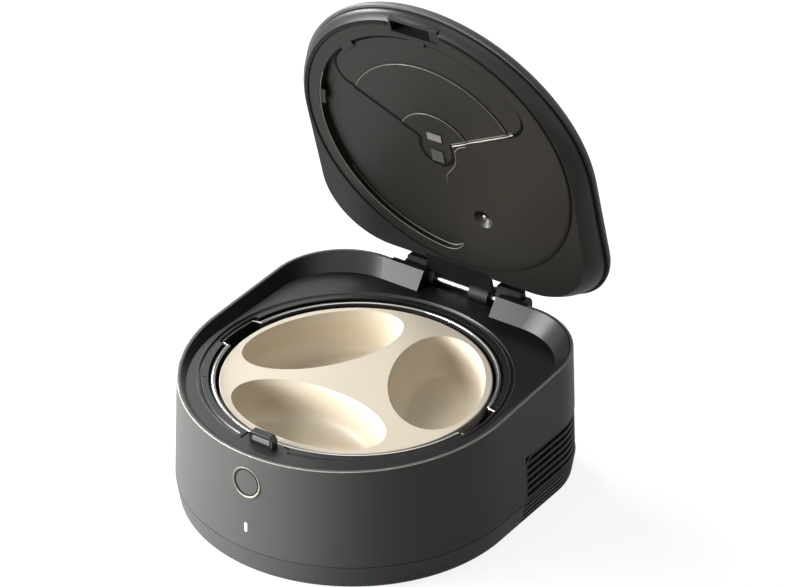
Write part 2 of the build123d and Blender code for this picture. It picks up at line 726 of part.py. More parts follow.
with BuildPart() as shaft_bush:
    with BuildSketch(Plane.XY.offset(CHASSIS_Z)):
        Circle(BUSH_R)
    extrude(amount=POT_FLOOR + POT_WALL - CHASSIS_Z)
    with BuildSketch(Plane.XY.offset(POT_FLOOR + POT_WALL)):
        Circle(BUSH_R + 2)
    extrude(amount=1.2)
    with BuildSketch(Plane.XY.offset(CHASSIS_Z)):
        Circle(SHAFT_R + RUN)
    extrude(amount=20, mode=Mode.SUBTRACT)
nodes["shaft_bush"] = shaft_bush

with BuildPart() as table_gear:
    with BuildSketch(Plane.XY.offset(GEAR_Z)):
        add(gear_face(TABLE_TEETH))
        with PolarLocations(13, 5):
            Circle(3.5, mode=Mode.SUBTRACT)
        Circle(SHAFT_R, mode=Mode.SUBTRACT)
    extrude(amount=GEAR_THICK)
nodes["table_gear"] = table_gear

MOTOR_AT = around(MODULE * (TABLE_TEETH + PINION_TEETH) / 2, MOTOR_ANGLE)
with BuildPart() as motor_pinion:
    with BuildSketch(Plane.XY.offset(GEAR_Z)):
        with Locations(MOTOR_AT):
            add(gear_face(PINION_TEETH, phase=MESH_PHASE))
    extrude(amount=GEAR_THICK)
    with BuildSketch(Plane.XY.offset(MOTOR_TOP - 10)):
        with Locations(MOTOR_AT):
            Circle(MOTOR_SHAFT_R)
    extrude(amount=GEAR_Z - MOTOR_TOP + 10.5)
nodes["motor_pinion"] = motor_pinion

with BuildPart() as gear_motor:
    with BuildSketch(Plane.XY.offset(FLOOR_Z + PAN_WALL + SEAT)):
        with Locations(MOTOR_AT):
            Circle(MOTOR_R)
    extrude(amount=MOTOR_TOP - FLOOR_Z - PAN_WALL - SEAT)
    with BuildSketch(Plane.XY.offset(MOTOR_TOP - 2)):
        with Locations(MOTOR_AT):
            SlotOverall(56, 10, rotation=90)
    extrude(amount=2)
    with BuildSketch(Plane.XY.offset(MOTOR_TOP - 10.5)):
        with Locations(MOTOR_AT):
            Circle(MOTOR_SHAFT_R + RUN)
    extrude(amount=11, mode=Mode.SUBTRACT)
    fillet(gear_motor.faces().sort_by(Axis.Z)[0].edges(), 1.5)
nodes["gear_motor"] = gear_motor

# Insulation: foam tub round the pot
with BuildPart() as pot_room:
    with BuildSketch(Plane.XY.offset(POT_FLOOR)):
        Circle(POT_IN + POT_WALL + SEAT)
    extrude(amount=60)
    fillet(pot_room.faces().sort_by(Axis.Z)[0].edges(), POT_BEND + POT_WALL)
with BuildPart() as insulation:
    with BuildSketch(Plane.XY.offset(CHASSIS_Z + CHASSIS_THICK)):
        Circle(INSULATION_R)
    extrude(amount=POT_TOP - POT_FLANGE_THICK - CHASSIS_Z - CHASSIS_THICK)
    add(pot_room.part, mode=Mode.SUBTRACT)
    add(finger_room.part, mode=Mode.SUBTRACT)
    with BuildSketch(Plane.XY.offset(CHASSIS_Z)):
        Circle(BUSH_R + SEAT)
        with Locations(COLD_AT):
            Rectangle(COLD_SIZE + 2 * SEAT, COLD_SIZE + 2 * SEAT)
    extrude(amount=30, mode=Mode.SUBTRACT)
nodes["insulation"] = insulation

# Chassis: inner plate on four legs
with BuildPart() as chassis:
    with BuildSketch(Plane.XY.offset(CHASSIS_Z)):
        add(wall_face(WALL + CHASSIS_IN, CHASSIS_Z))
        Circle(BUSH_R, mode=Mode.SUBTRACT)
        with Locations(COLD_AT):
            Rectangle(COLD_SIZE + 2 * SEAT, COLD_SIZE + 2 * SEAT, mode=Mode.SUBTRACT)
        with Locations((-60, 60), (-60, -60), (60, -60)):
            Circle(22, mode=Mode.SUBTRACT)
        with Locations((0, 3 - BOARD_FRONT)):
            Rectangle(BOARD_WIDE + 6, 24, mode=Mode.SUBTRACT)
    extrude(amount=CHASSIS_THICK)
    with BuildSketch(Plane.XY.offset(PAN_TOP_Z + SEAT + 0.3)):
        with Locations(*FEET):
            Circle(5)
    extrude(amount=CHASSIS_Z - PAN_TOP_Z - SEAT)
    with BuildSketch(Plane.XY.offset(PAN_TOP_Z)):
        with Locations(*FEET):
            Circle(SCREW_R)
    extrude(amount=SCREW_TOP + 1 - PAN_TOP_Z, mode=Mode.SUBTRACT)
nodes["chassis"] = chassis

with BuildPart() as case_screws:
    with BuildSketch(Plane.XY.offset(FLOOR_Z + FOOT_RECESS + SEAT)):
        with Locations(*FEET):
            Circle(SCREW_HEAD_R)
    extrude(amount=SCREW_HEAD)
    with BuildSketch(Plane.XY.offset(FLOOR_Z + FOOT_RECESS + SEAT + SCREW_HEAD)):
        with Locations(*FEET):
            Circle(SCREW_R)
    extrude(amount=SCREW_TOP - FLOOR_Z - FOOT_RECESS - SEAT - SCREW_HEAD)
nodes["case_screws"] = case_screws

# Cooling train: block, cooling element, heat sink, fan
with BuildPart() as cold_block:
    with BuildSketch(Plane.XY.offset(SINK_TOP + ELEMENT_THICK)):
        with Locations(COLD_AT):
            Rectangle(COLD_SIZE, COLD_SIZE)
    extrude(amount=POT_FLOOR - SINK_TOP - ELEMENT_THICK)
nodes["cold_block"] = cold_block

with BuildPart() as cooling_element:
    with BuildSketch(Plane.XY.offset(SINK_TOP)):
        with Locations(COLD_AT):
            Rectangle(COLD_SIZE - 2, COLD_SIZE - 2)
    extrude(amount=ELEMENT_THICK)
nodes["cooling_element"] = cooling_element

with BuildPart() as heat_sink:
    with BuildSketch(Plane.XY.offset(SINK_TOP - SINK_BASE)):
        with Locations(SINK_AT):
            Rectangle(SINK_SIZE, SINK_SIZE)
    extrude(amount=SINK_BASE)
    with BuildSketch(Plane.XY.offset(SINK_TOP - SINK_BASE - FIN_HIGH)):
        with Locations(SINK_AT):
            with GridLocations(0, (SINK_SIZE - 1.4) / 14, 1, 15):
                Rectangle(SINK_SIZE, 1.4)
    extrude(amount=FIN_HIGH + 0.5)
nodes["heat_sink"] = heat_sink

FAN_Z = FLOOR_Z + PAN_WALL + SEAT
with BuildPart() as fan_frame:
    with BuildSketch(Plane.XY.offset(FAN_Z)):
        with Locations(SINK_AT):
            RectangleRounded(SINK_SIZE, SINK_SIZE, 5)
            Circle(FAN_HOLE_R, mode=Mode.SUBTRACT)
            with GridLocations(SINK_SIZE - 9, SINK_SIZE - 9, 2, 2):
                Circle(2, mode=Mode.SUBTRACT)
    extrude(amount=FAN_THICK)
    with BuildSketch(Plane.XY.offset(FAN_Z + FAN_THICK - 2)):
        with Locations(SINK_AT):
            Circle(13)
            with PolarLocations(FAN_HOLE_R / 2 + 5, 4, start_angle=45):
                Rectangle(FAN_HOLE_R - 8, 3)
    extrude(amount=2)
    with BuildSketch(Plane.XY.offset(FAN_Z + 5)):
        with Locations(SINK_AT):
            Circle(2.5)
    extrude(amount=FAN_THICK - 6)
nodes["fan_frame"] = fan_frame

with BuildPart() as fan_rotor:
    with BuildSketch(Plane.XY.offset(FAN_Z + 1.5)):
        with Locations(SINK_AT):
            Circle(12.5)
    extrude(amount=FAN_THICK - 4.5)
    for k in range(7):
        out = around(1, 360 / 7 * k)
        rake = around(1, BLADE_RAKE)
        tilt = (out[1] * rake[1], -out[0] * rake[1], rake[0])
        with BuildSketch(Plane(origin=(*SINK_AT, FAN_Z + 6.5), x_dir=(*out, 0), z_dir=tilt)):
            with Locations(((12 + ROTOR_R - 0.6) / 2, 0)):
                Rectangle(ROTOR_R - 12.6, 11)
        extrude(amount=0.6, both=True)
    with BuildSketch(Plane.XY.offset(FAN_Z + 1)):
        with Locations(SINK_AT):
            Circle(2.5 + RUN)
    extrude(amount=FAN_THICK, mode=Mode.SUBTRACT)
nodes["fan_rotor"] = fan_rotor

# Electrics
with BuildPart() as main_board:
    with BuildSketch(Plane.XY.offset(BOARD_Z)):
        with Locations(BOARD_AT):
            RectangleRounded(*BOARD_SIZE, 3)
            with GridLocations(BOARD_SIZE[0] - 8, BOARD_SIZE[1] - 8, 2, 2):
                Circle(1.6, mode=Mode.SUBTRACT)
    extrude(amount=1.6)
    with BuildSketch(Plane.XY.offset(BOARD_Z + 1.6)):
        with Locations((BOARD_AT[0] - 12, BOARD_AT[1] - 6)):
            Rectangle(12, 12)
        with Locations((BOARD_AT[0] + 12, BOARD_AT[1] + 8)):
            Rectangle(16, 9)
    extrude(amount=2)
    with BuildSketch(Plane.XY.offset(BOARD_Z + 1.6)):
        with Locations((BOARD_AT[0] + 14, BOARD_AT[1] - 12), (BOARD_AT[0] - 14, BOARD_AT[1] + 14)):
            Circle(4)
    extrude(amount=10)
    with BuildSketch(Plane.XY.offset(FLOOR_Z + PAN_WALL + SEAT)):
        with Locations(BOARD_AT):
            with GridLocations(BOARD_SIZE[0] - 18, BOARD_SIZE[1] - 8, 2, 2):
                Circle(2.5)
    extrude(amount=BOARD_Z - FLOOR_Z - PAN_WALL)
nodes["main_board"] = main_board

with BuildPart() as power_inlet:
    with BuildSketch(Plane.XZ.offset(-INLET_Y)):
        with Locations((INLET_X, INLET_Z)):
            Rectangle(*INLET_SIZE)
    extrude(amount=INLET_DEEP)
    with BuildSketch(Plane.XZ.offset(-INLET_Y)):
        with Locations((INLET_X, INLET_Z)):
            Circle(INLET_R)
    extrude(amount=INLET_DEEP - 2, mode=Mode.SUBTRACT)
    with BuildSketch(Plane.XZ.offset(INLET_DEEP - INLET_Y - 0.5)):
        with Locations((INLET_X, INLET_Z)):
            Rectangle(INLET_SIZE[0] + 5, INLET_SIZE[1] + 5)
    extrude(amount=2.5)
nodes["power_inlet"] = power_inlet


def front_skin(inset, deep):
    """A curved slice of the body's front wall, inset from the outside and this deep."""
    with BuildPart() as skin:
        with BuildSketch(Plane.XY.offset(SEAM_Z + 2)):
            add(wall_face(inset, SEAM_Z + 2))
        extrude(amount=76, taper=DRAFT)
        with BuildSketch(Plane.XY.offset(SEAM_Z + 2)):
            add(wall_face(inset + deep, SEAM_Z + 2))
        extrude(amount=76, taper=DRAFT, mode=Mode.SUBTRACT)
    return skin.part


# Front controls
with BuildPart() as button_ring:
    with BuildSketch(Plane.XZ.offset(FRONT - FRONT_ROOM)):
        with Locations((0, BUTTON_Z)):
            Circle(BUTTON_RING_R)
            Circle(BUTTON_R + BUTTON_PLAY, mode=Mode.SUBTRACT)
    extrude(amount=60)
    add(front_skin(0, WALL + 1.6), mode=Mode.INTERSECT)
nodes["button_ring"] = button_ring

with BuildPart() as button_cap:
    with BuildSketch(Plane.XZ.offset(FRONT - FRONT_ROOM)):
        with Locations((0, BUTTON_Z)):
            Circle(BUTTON_R)
    extrude(amount=60)
    add(front_skin(0.3, WALL), mode=Mode.INTERSECT)
    with BuildSketch(Plane.XZ.offset(BOARD_FRONT + SWITCH_DEEP + BUTTON_THROW + 0.3)):
        with Locations((0, BUTTON_Z)):
            Circle(3)
    extrude(amount=FRONT - WALL - BOARD_FRONT - SWITCH_DEEP - BUTTON_THROW)
nodes["button_cap"] = button_cap

with BuildPart() as indicator_light:
    with BuildSketch(Plane.XZ.offset(BOARD_FRONT + SEAT)):
        with Locations((0, LIGHT_Z)):
            SlotOverall(LIGHT_HIGH, LIGHT_WIDE, rotation=90)
    extrude(amount=20)
    add(front_skin(0, 20), mode=Mode.INTERSECT)
nodes["indicator_light"] = indicator_light

with BuildPart() as front_board:
    with BuildSketch(Plane.XZ.offset(BOARD_FRONT - 1.6)):
        with Locations((0, (BUTTON_Z + LIGHT_Z) / 2)):
            RectangleRounded(BOARD_WIDE, BUTTON_Z - LIGHT_Z + 18, 2)
    extrude(amount=1.6)
    with BuildSketch(Plane.XZ.offset(BOARD_FRONT)):
        with Locations((0, BUTTON_Z)):
            Rectangle(7, 7)
    extrude(amount=SWITCH_DEEP)
    with BuildSketch(Plane.XZ.offset(BOARD_FRONT)):
        with Locations((-BOARD_WIDE / 3, LIGHT_Z + 20), (BOARD_WIDE / 3, LIGHT_Z + 20)):
            Circle(2.5)
    extrude(amount=FRONT - WALL - BOARD_FRONT)
    add(front_skin(WALL + SEAT, 40), mode=Mode.INTERSECT)
nodes["front_board"] = front_board

# Latch: a small framed block with a sliding bolt behind its window
with BuildPart() as latch_housing:
    with BuildSketch(Plane.XZ.offset(-LATCH_REAR)):
        with BuildLine():
            foot = LATCH_HALF
            top = LATCH_HALF - 1.1
            Polyline(
                (-foot, DECK_Z - LATCH_RECESS),
                (-foot, LATCH_TOP - 1.5),
                (-top, LATCH_TOP),
                (top - 1.5, LATCH_TOP),
                (foot, LATCH_TOP - 3.5),
                (foot, DECK_Z - LATCH_RECESS),
                close=True,
            )
        make_face()
    extrude(amount=LATCH_REAR - LATCH_FRONT)
    fillet(latch_housing.faces().sort_by(Axis.Z)[-1].edges(), 0.5)
    with BuildSketch(Plane.XY.offset(DECK_Z - DECK_THICK)):
        with Locations((0, (LATCH_FRONT + LATCH_REAR) / 2)):
            Rectangle(2 * LATCH_HALF - 4, LATCH_REAR - LATCH_FRONT - 4)
    extrude(amount=DECK_THICK - LATCH_RECESS + 0.1)
    with BuildSketch(Plane.XZ.offset(BOLT_WALL - LATCH_REAR)):
        with Locations((0, BOLT_Z + BOLT_HIGH / 2)):
            Rectangle(2 * BOLT_HALF + 0.2, BOLT_HIGH + 0.2)
    extrude(amount=20, mode=Mode.SUBTRACT)
nodes["latch_housing"] = latch_housing

with BuildPart() as latch_bolt:
    with BuildSketch(Plane.YZ.offset(-BOLT_HALF)):
        with BuildLine():
            back = LATCH_REAR - BOLT_WALL - 1
            nose = LATCH_FRONT + 0.3
            Polyline(
                (back, BOLT_Z),
                (back, BOLT_Z + BOLT_HIGH),
                (nose + 1.2, BOLT_Z + BOLT_HIGH),
                (nose, BOLT_Z + BOLT_HIGH - 1.2),
                (nose, BOLT_Z),
                close=True,
            )
        make_face()
    extrude(amount=2 * BOLT_HALF)
nodes["latch_bolt"] = latch_bolt

# Lid panel: the inside of the lid with the shutter's pocket
with BuildPart() as lid_panel:
    for height, share, rear_share in FLANK_STEPS:
        with BuildSketch(flank_plane(height, 0)):
            add(flank_face(share, rear_share, 0))
    loft()
    with BuildSketch(LID_SEAM):
        add(shell_face(WALL + SEAT))
    extrude(amount=SKIN)
    for height, share, rear_share in FLANK_STEPS:
        with BuildSketch(flank_plane(height, SKIN)):
            add(flank_face(share, rear_share, SKIN))
    loft(mode=Mode.SUBTRACT)
    with BuildSketch(LID.offset(SKIN - 1)):
        Circle(POCKET_R + 2)
    extrude(amount=POCKET_DEEP + POCKET_FLOOR - SKIN + 1)
    # pocket that the shutter turns in
    with BuildSketch(LID):
        add(sector_face(14, POCKET_R, POCKET_START, POCKET_STOP, SHUTTER_CORNER))
        Circle(HUB_POCKET_R)
    extrude(amount=POCKET_DEEP, mode=Mode.SUBTRACT)
    # feed window, spindle hole, sensor dimple
    with BuildSketch(LID):
        add(sector_face(FEED_IN, FEED_OUT, -90 - FEED_ANGLE, -90 + FEED_ANGLE, FEED_CORNER, FEED_ROOT))
        Circle(SPINDLE_R + RUN)
        with Locations(SENSOR_AT):
            Circle(SENSOR_R + 0.1)
    extrude(amount=20, mode=Mode.SUBTRACT)
    with BuildSketch(LID):
        with Locations(SENSOR_AT):
            Circle(DIMPLE_R)
    extrude(amount=DIMPLE_R - SENSOR_R, taper=45, mode=Mode.SUBTRACT)
    # gasket groove
    with BuildSketch(LID):
        half_gap = math.degrees(math.asin(GROOVE_GAP / GASKET_OUT)) + 0.3
        add(sector_face(GASKET_IN, GASKET_OUT, half_gap - 90, 270 - half_gap, 1.5, 1.5))
    extrude(amount=GASKET_DEEP, mode=Mode.SUBTRACT)
    # seat of the latch catch
    with BuildSketch(LID):
        with Locations((0, (CATCH_FRONT + CATCH_REAR) / 2)):
            Rectangle(2 * CATCH_HALF + 0.2, CATCH_REAR - CATCH_FRONT + 0.2)
    extrude(amount=20, mode=Mode.SUBTRACT)
    # seat of the lid arm's tongue
    with BuildSketch(LID):
        with Locations(((TONGUE_LEFT + TONGUE_RIGHT) / 2, TONGUE_FRONT + 15 - SEAT)):
            Rectangle(TONGUE_RIGHT - TONGUE_LEFT + 2 * SEAT, 30)
    extrude(amount=ARM_LOW + ARM_THICK + SEAT, mode=Mode.SUBTRACT)
    # seats of the shutter clips
    with BuildSketch(LID):
        for turn in CLIP_TURNS:
            add(sector_face(POCKET_R - 2, CLIP_OUT + 0.1, turn - CLIP_HALF - 0.1, turn + CLIP_HALF + 0.1))
    extrude(amount=CLIP_LOW + CLIP_THICK, mode=Mode.SUBTRACT)
nodes["lid_panel"] = lid_panel

with BuildPart() as lid_gasket:
    with BuildSketch(LID.offset(0.1)):
        half_gap = math.degrees(math.asin(GROOVE_GAP / GASKET_OUT)) + 0.4
        add(sector_face(GASKET_IN + 0.1, GASKET_OUT - 0.1, half_gap - 90, 270 - half_gap, 1.4, 1.4))
    extrude(amount=GASKET_DEEP - 0.1)
    with BuildSketch(LID.offset(-GASKET_LIP)):
        add(sector_face(LIP_IN, LIP_OUT, half_gap - 89, 269 - half_gap, 0.5, 0.5))
    extrude(amount=GASKET_LIP + 0.5)
nodes["lid_gasket"] = lid_gasket

with BuildPart() as latch_catch:
    with BuildSketch(LID.offset(0.1)):
        with Locations((0, (CATCH_FRONT + CATCH_REAR) / 2)):
            Rectangle(2 * CATCH_HALF, CATCH_REAR - CATCH_FRONT)
    extrude(amount=CATCH_HIGH)
    with BuildSketch(LID):
        with Locations((0, (CATCH_FRONT + CATCH_REAR) / 2)):
            Rectangle(2 * CATCH_HALF - 2 * CATCH_WALL, CATCH_REAR - CATCH_FRONT - 2 * CATCH_WALL)
    extrude(amount=CATCH_HIGH - CATCH_WALL, mode=Mode.SUBTRACT)
    with BuildSketch(LID.offset(1.4)):
        with Locations(((CATCH_HALF + CATCH_BLOCK) / 2 - 0.4, (CATCH_FRONT + CATCH_REAR) / 2)):
            Rectangle(CATCH_HALF - CATCH_BLOCK, CATCH_REAR - CATCH_FRONT - 1)
    extrude(amount=CATCH_HIGH - 2)
    # slot that the bolt enters
    with BuildSketch(LID.offset(BOLT_Z - LID_FACE_Z - 0.4)):
        with Locations((0, CATCH_FRONT)):
            Rectangle(2 * BOLT_HALF + 0.8, 4)
    extrude(amount=BOLT_HIGH + 0.8, mode=Mode.SUBTRACT)
nodes["latch_catch"] = latch_catch

# Lid shell: the outer cover with the feed opening and its chute
with BuildPart() as chute:
    with BuildSketch(LID.offset(POCKET_DEEP + POCKET_FLOOR + SEAT)):
        wide = FEED_ANGLE + math.degrees(CHUTE / FEED_OUT)
        add(sector_face(FEED_IN - CHUTE, FEED_OUT + CHUTE, -90 - wide, wide - 90, FEED_CORNER + CHUTE, FEED_ROOT + 1))
    extrude(amount=40)
    split(bisect_by=LID_SEAM.offset(SHELL_HIGH - SKIN / 2), keep=Keep.BOTTOM)
with BuildPart() as lid_hollow:
    with BuildSketch(LID_SEAM):
        add(shell_face(WALL))
    extrude(amount=SHELL_HIGH - SKIN)
    fillet(lid_hollow.faces().sort_by(SEAM_AXIS)[-1].edges(), SHELL_ROUND - WALL)
with BuildPart() as lid_shell:
    with BuildSketch(LID_SEAM):
        add(shell_face(0))
    extrude(amount=SHELL_HIGH)
    fillet(lid_shell.faces().sort_by(SEAM_AXIS)[-1].edges(), SHELL_ROUND)
    fillet(lid_shell.faces().sort_by(SEAM_AXIS)[0].edges(), SHELL_LIP)
    add(lid_hollow.part, mode=Mode.SUBTRACT)
    add(chute.part)
    with BuildSketch(LID):
        add(sector_face(FEED_IN, FEED_OUT, -90 - FEED_ANGLE, -90 + FEED_ANGLE, FEED_CORNER, FEED_ROOT))
    extrude(amount=60, mode=Mode.SUBTRACT)
nodes["lid_shell"] = lid_shell

# Lid arm: the tongue and the two turning knuckles
with BuildPart() as lid_arm:
    with BuildSketch(LID.offset(ARM_LOW)):
        with Locations(((TONGUE_LEFT + TONGUE_RIGHT) / 2, (TONGUE_FRONT + TONGUE_REAR) / 2)):
            Rectangle(TONGUE_RIGHT - TONGUE_LEFT, TONGUE_REAR - TONGUE_FRONT)
    extrude(amount=ARM_THICK)
    for low, high in (ARM_RIGHT, ARM_LEFT):
        with BuildSketch(LID_HINGE.offset(low)):
            Circle(ARM_R)
            with Locations((-ARM_R / 2 - 2, ARM_LOW + LID_FACE_Z - HINGE_Z + ARM_THICK / 2 + 1)):
                Rectangle(ARM_R + 4, ARM_THICK + 2)
        extrude(amount=high - low)
    with BuildSketch(HINGE_PLANE.offset(-40)):
        Circle(ROD_R + RUN)
    extrude(amount=80, mode=Mode.SUBTRACT)
nodes["lid_arm"] = lid_arm

# Shutter: a stepped sector plate
with BuildPart() as shutter:
    with BuildSketch(LID.offset(SHUTTER_LOW)):
        add(sector_face(13, SHUTTER_R, -90 - WINDOW_ANGLE, WINDOW_ANGLE - 90, SHUTTER_CORNER))
        Circle(HUB_POCKET_R - 1)
    extrude(amount=SHUTTER_BACK - SHUTTER_LOW)
    for radius, low in ((80, SHUTTER_LOW - 0.8), (34, SHUTTER_LOW - 1.6)):
        with BuildSketch(LID.offset(low)):
            add(sector_face(13, radius, -89 - WINDOW_ANGLE, WINDOW_ANGLE - 91))
            Circle(HUB_POCKET_R - 2)
        extrude(amount=1)
    with BuildSketch(LID.offset(0.2)):
        with Locations((0, -12)):
            Rectangle(14, 8)
        with Locations((0, 7)):
            Rectangle(12, 12)
    extrude(amount=SHUTTER_LOW)
    with BuildSketch(LID.offset(SHUTTER_BACK - 0.2)):
        Circle(SPINDLE_R)
    extrude(amount=SPINDLE_TOP - SHUTTER_BACK + 0.2)
nodes["shutter"] = shutter

with BuildPart() as shutter_clips:
    with BuildSketch(LID.offset(CLIP_LOW)):
        for turn in CLIP_TURNS:
            add(sector_face(CLIP_IN, CLIP_OUT, turn - CLIP_HALF, turn + CLIP_HALF))
    extrude(amount=CLIP_THICK)
nodes["shutter_clips"] = shutter_clips

with BuildPart() as shutter_gear:
    with BuildSketch(LID.offset(LID_GEAR_H)):
        add(gear_face(SHUTTER_TEETH))
        Circle(SPINDLE_R, mode=Mode.SUBTRACT)
    extrude(amount=LID_GEAR_THICK)
nodes["shutter_gear"] = shutter_gear

DRIVE_AT = around(MODULE * (SHUTTER_TEETH + SHUTTER_PINION_TEETH) / 2, DRIVE_ANGLE)
with BuildPart() as shutter_pinion:
    with BuildSketch(LID.offset(LID_GEAR_H)):
        with Locations(DRIVE_AT):
            add(gear_face(SHUTTER_PINION_TEETH, phase=LID_MESH_PHASE))
    extrude(amount=LID_GEAR_THICK)
    with BuildSketch(LID.offset(LID_GEAR_H + LID_GEAR_THICK - 0.5)):
        with Locations(DRIVE_AT):
            Circle(1.5)
    extrude(amount=6)
nodes["shutter_pinion"] = shutter_pinion

with BuildPart() as shutter_motor:
    low = LID_GEAR_H + LID_GEAR_THICK + 0.8
    with BuildSketch(LID.offset(low)):
        with Locations(DRIVE_AT):
            Circle(9)
            SlotOverall(40, 8, rotation=DRIVE_ANGLE + 90)
    extrude(amount=2)
    with BuildSketch(LID.offset(low)):
        with Locations(DRIVE_AT):
            Circle(9)
    extrude(amount=LID_MOTOR_HIGH)
    with BuildSketch(LID.offset(POCKET_DEEP + POCKET_FLOOR + SEAT)):
        with Locations(Location(DRIVE_AT, DRIVE_ANGLE + 90)):
            with Locations((-16, 0), (16, 0)):
                Circle(3)
    extrude(amount=low - POCKET_DEEP - POCKET_FLOOR)
    with BuildSketch(LID.offset(low)):
        with Locations(DRIVE_AT):
            Circle(1.5 + RUN)
    extrude(amount=6, mode=Mode.SUBTRACT)
nodes["shutter_motor"] = shutter_motor

with BuildPart() as sensor_probe:
    with BuildSketch(LID.offset(1.5)):
        with Locations(SENSOR_AT):
            Circle(SENSOR_R)
    extrude(amount=8)
    fillet(sensor_probe.faces().sort_by(Axis(LID.origin, LID.z_dir))[0].edges(), 1.2)
    with BuildSketch(LID.offset(POCKET_DEEP + POCKET_FLOOR + SEAT)):
        with Locations(SENSOR_AT):
            Circle(SENSOR_R + 2)
    extrude(amount=2)
nodes["sensor_probe"] = sensor_probe

for name, node in nodes.items():
    node.part.label = name
    export_step(node.part, f"parts/{name}.step")
    print(name, round(node.part.volume / 1000, 2))
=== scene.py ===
# %% [markdown]
# # An automatic wet food feeder
# The object is a round-fronted feeder with its lid open: a charcoal body, a black deck, a bright
# metal well and a cream tray with three oval bowls. Its solids could be modelled again here, but the
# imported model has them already, with every size, place and joint. So that model is loaded first, and
# the pieces made here only dress it.

import math

import bmesh
import bpy
from mathutils import Matrix, Vector
from mathutils.bvhtree import BVHTree


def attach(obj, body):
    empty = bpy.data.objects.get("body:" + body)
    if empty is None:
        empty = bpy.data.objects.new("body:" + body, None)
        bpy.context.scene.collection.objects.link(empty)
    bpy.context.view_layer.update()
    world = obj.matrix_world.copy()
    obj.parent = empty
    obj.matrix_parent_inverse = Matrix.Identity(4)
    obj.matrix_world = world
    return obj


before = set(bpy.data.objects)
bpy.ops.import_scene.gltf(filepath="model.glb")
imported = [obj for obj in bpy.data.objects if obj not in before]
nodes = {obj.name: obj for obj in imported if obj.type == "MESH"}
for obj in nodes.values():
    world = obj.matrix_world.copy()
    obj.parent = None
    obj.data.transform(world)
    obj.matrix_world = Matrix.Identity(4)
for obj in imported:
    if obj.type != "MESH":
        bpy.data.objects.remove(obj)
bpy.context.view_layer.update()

# %% [markdown]
# A long lens from far away, above and to the right of the feeder, as in a catalogue photograph. The
# place and the lens could be set by eye. They were solved instead from the round tray and the straight
# edges in the photograph, because a circle seen at an angle soon shows a wrong lens.

# %% Camera
CAMERA_AT = Vector((1.14908, -1.58782, 1.33939))
CAMERA_TURN = math.radians(35.064)
CAMERA_DROP = math.radians(30.714)
SENSOR_MM = 36.0
LENS_MM = 138.6


def placed(name, data):
    """A new object that holds this data, linked to the scene."""
    thing = bpy.data.objects.new(name, data)
    bpy.context.scene.collection.objects.link(thing)
    return thing


camera_data = bpy.data.cameras.new("camera")
camera_data.sensor_width = SENSOR_MM
camera_data.lens = LENS_MM
camera = placed("camera", camera_data)
camera.location = CAMERA_AT
camera.rotation_euler = (math.pi / 2 - CAMERA_DROP, 0.0, CAMERA_TURN)
bpy.context.scene.camera = camera
print("lens", round(camera_data.lens, 1), "mm")

# %% [markdown]
# Three helpers for the finishes. Colours are picked as sRGB hex values, the way a paint chart gives
# them, and the shader wants linear light, so the first one converts them. The second adds one shader
# node with its settings, values and links. The third starts an empty material.

# %% Colour and node helpers
bpy.context.scene.view_settings.view_transform = "Standard"


def linear(hex_code):
    """An sRGB hex colour as linear red, green, blue and alpha."""
    parts = [int(hex_code[i : i + 2], 16) / 255 for i in (1, 3, 5)]
    return [p / 12.92 if p <= 0.04045 else ((p + 0.055) / 1.055) ** 2.4 for p in parts] + [1.0]


def add_node(tree, kind, values=None, **settings):
    """One node of this kind. A value that is a socket is linked, any other is set."""
    new = tree.nodes.new(kind)
    for name, setting in settings.items():
        setattr(new, name, setting)
    for name, value in (values or {}).items():
        socket = new.inputs[name]
        if isinstance(value, bpy.types.NodeSocket):
            tree.links.new(value, socket)
        else:
            socket.default_value = value
    return new


def new_material(name):
    """An empty material with its node tree and its output node."""
    material = bpy.data.materials.new(name)
    material.use_nodes = True
    material.node_tree.nodes.clear()
    return material, material.node_tree, material.node_tree.nodes.new("ShaderNodeOutputMaterial")


print("view transform", bpy.context.scene.view_settings.view_transform)

# %% [markdown]
# Most of the feeder is moulded, and the plastic copies the fine spark-eroded grain of its mould. The
# grain breaks up the highlight, so the surface reads as satin. It could come from an image, but noise
# nodes give it at any scale and without a seam. A real grain is about 0.1 mm. It is drawn at 0.5 mm or
# more, because anything finer is lost at this size.

# %% Moulded finishes
CLOUDS_PER_METRE = 14.0
NOISE_LOW, NOISE_HIGH = 0.3, 0.7
SHEEN_SPREAD = 0.03
GRAIN_STRENGTH = 0.25
MOULDED_IOR = 1.53


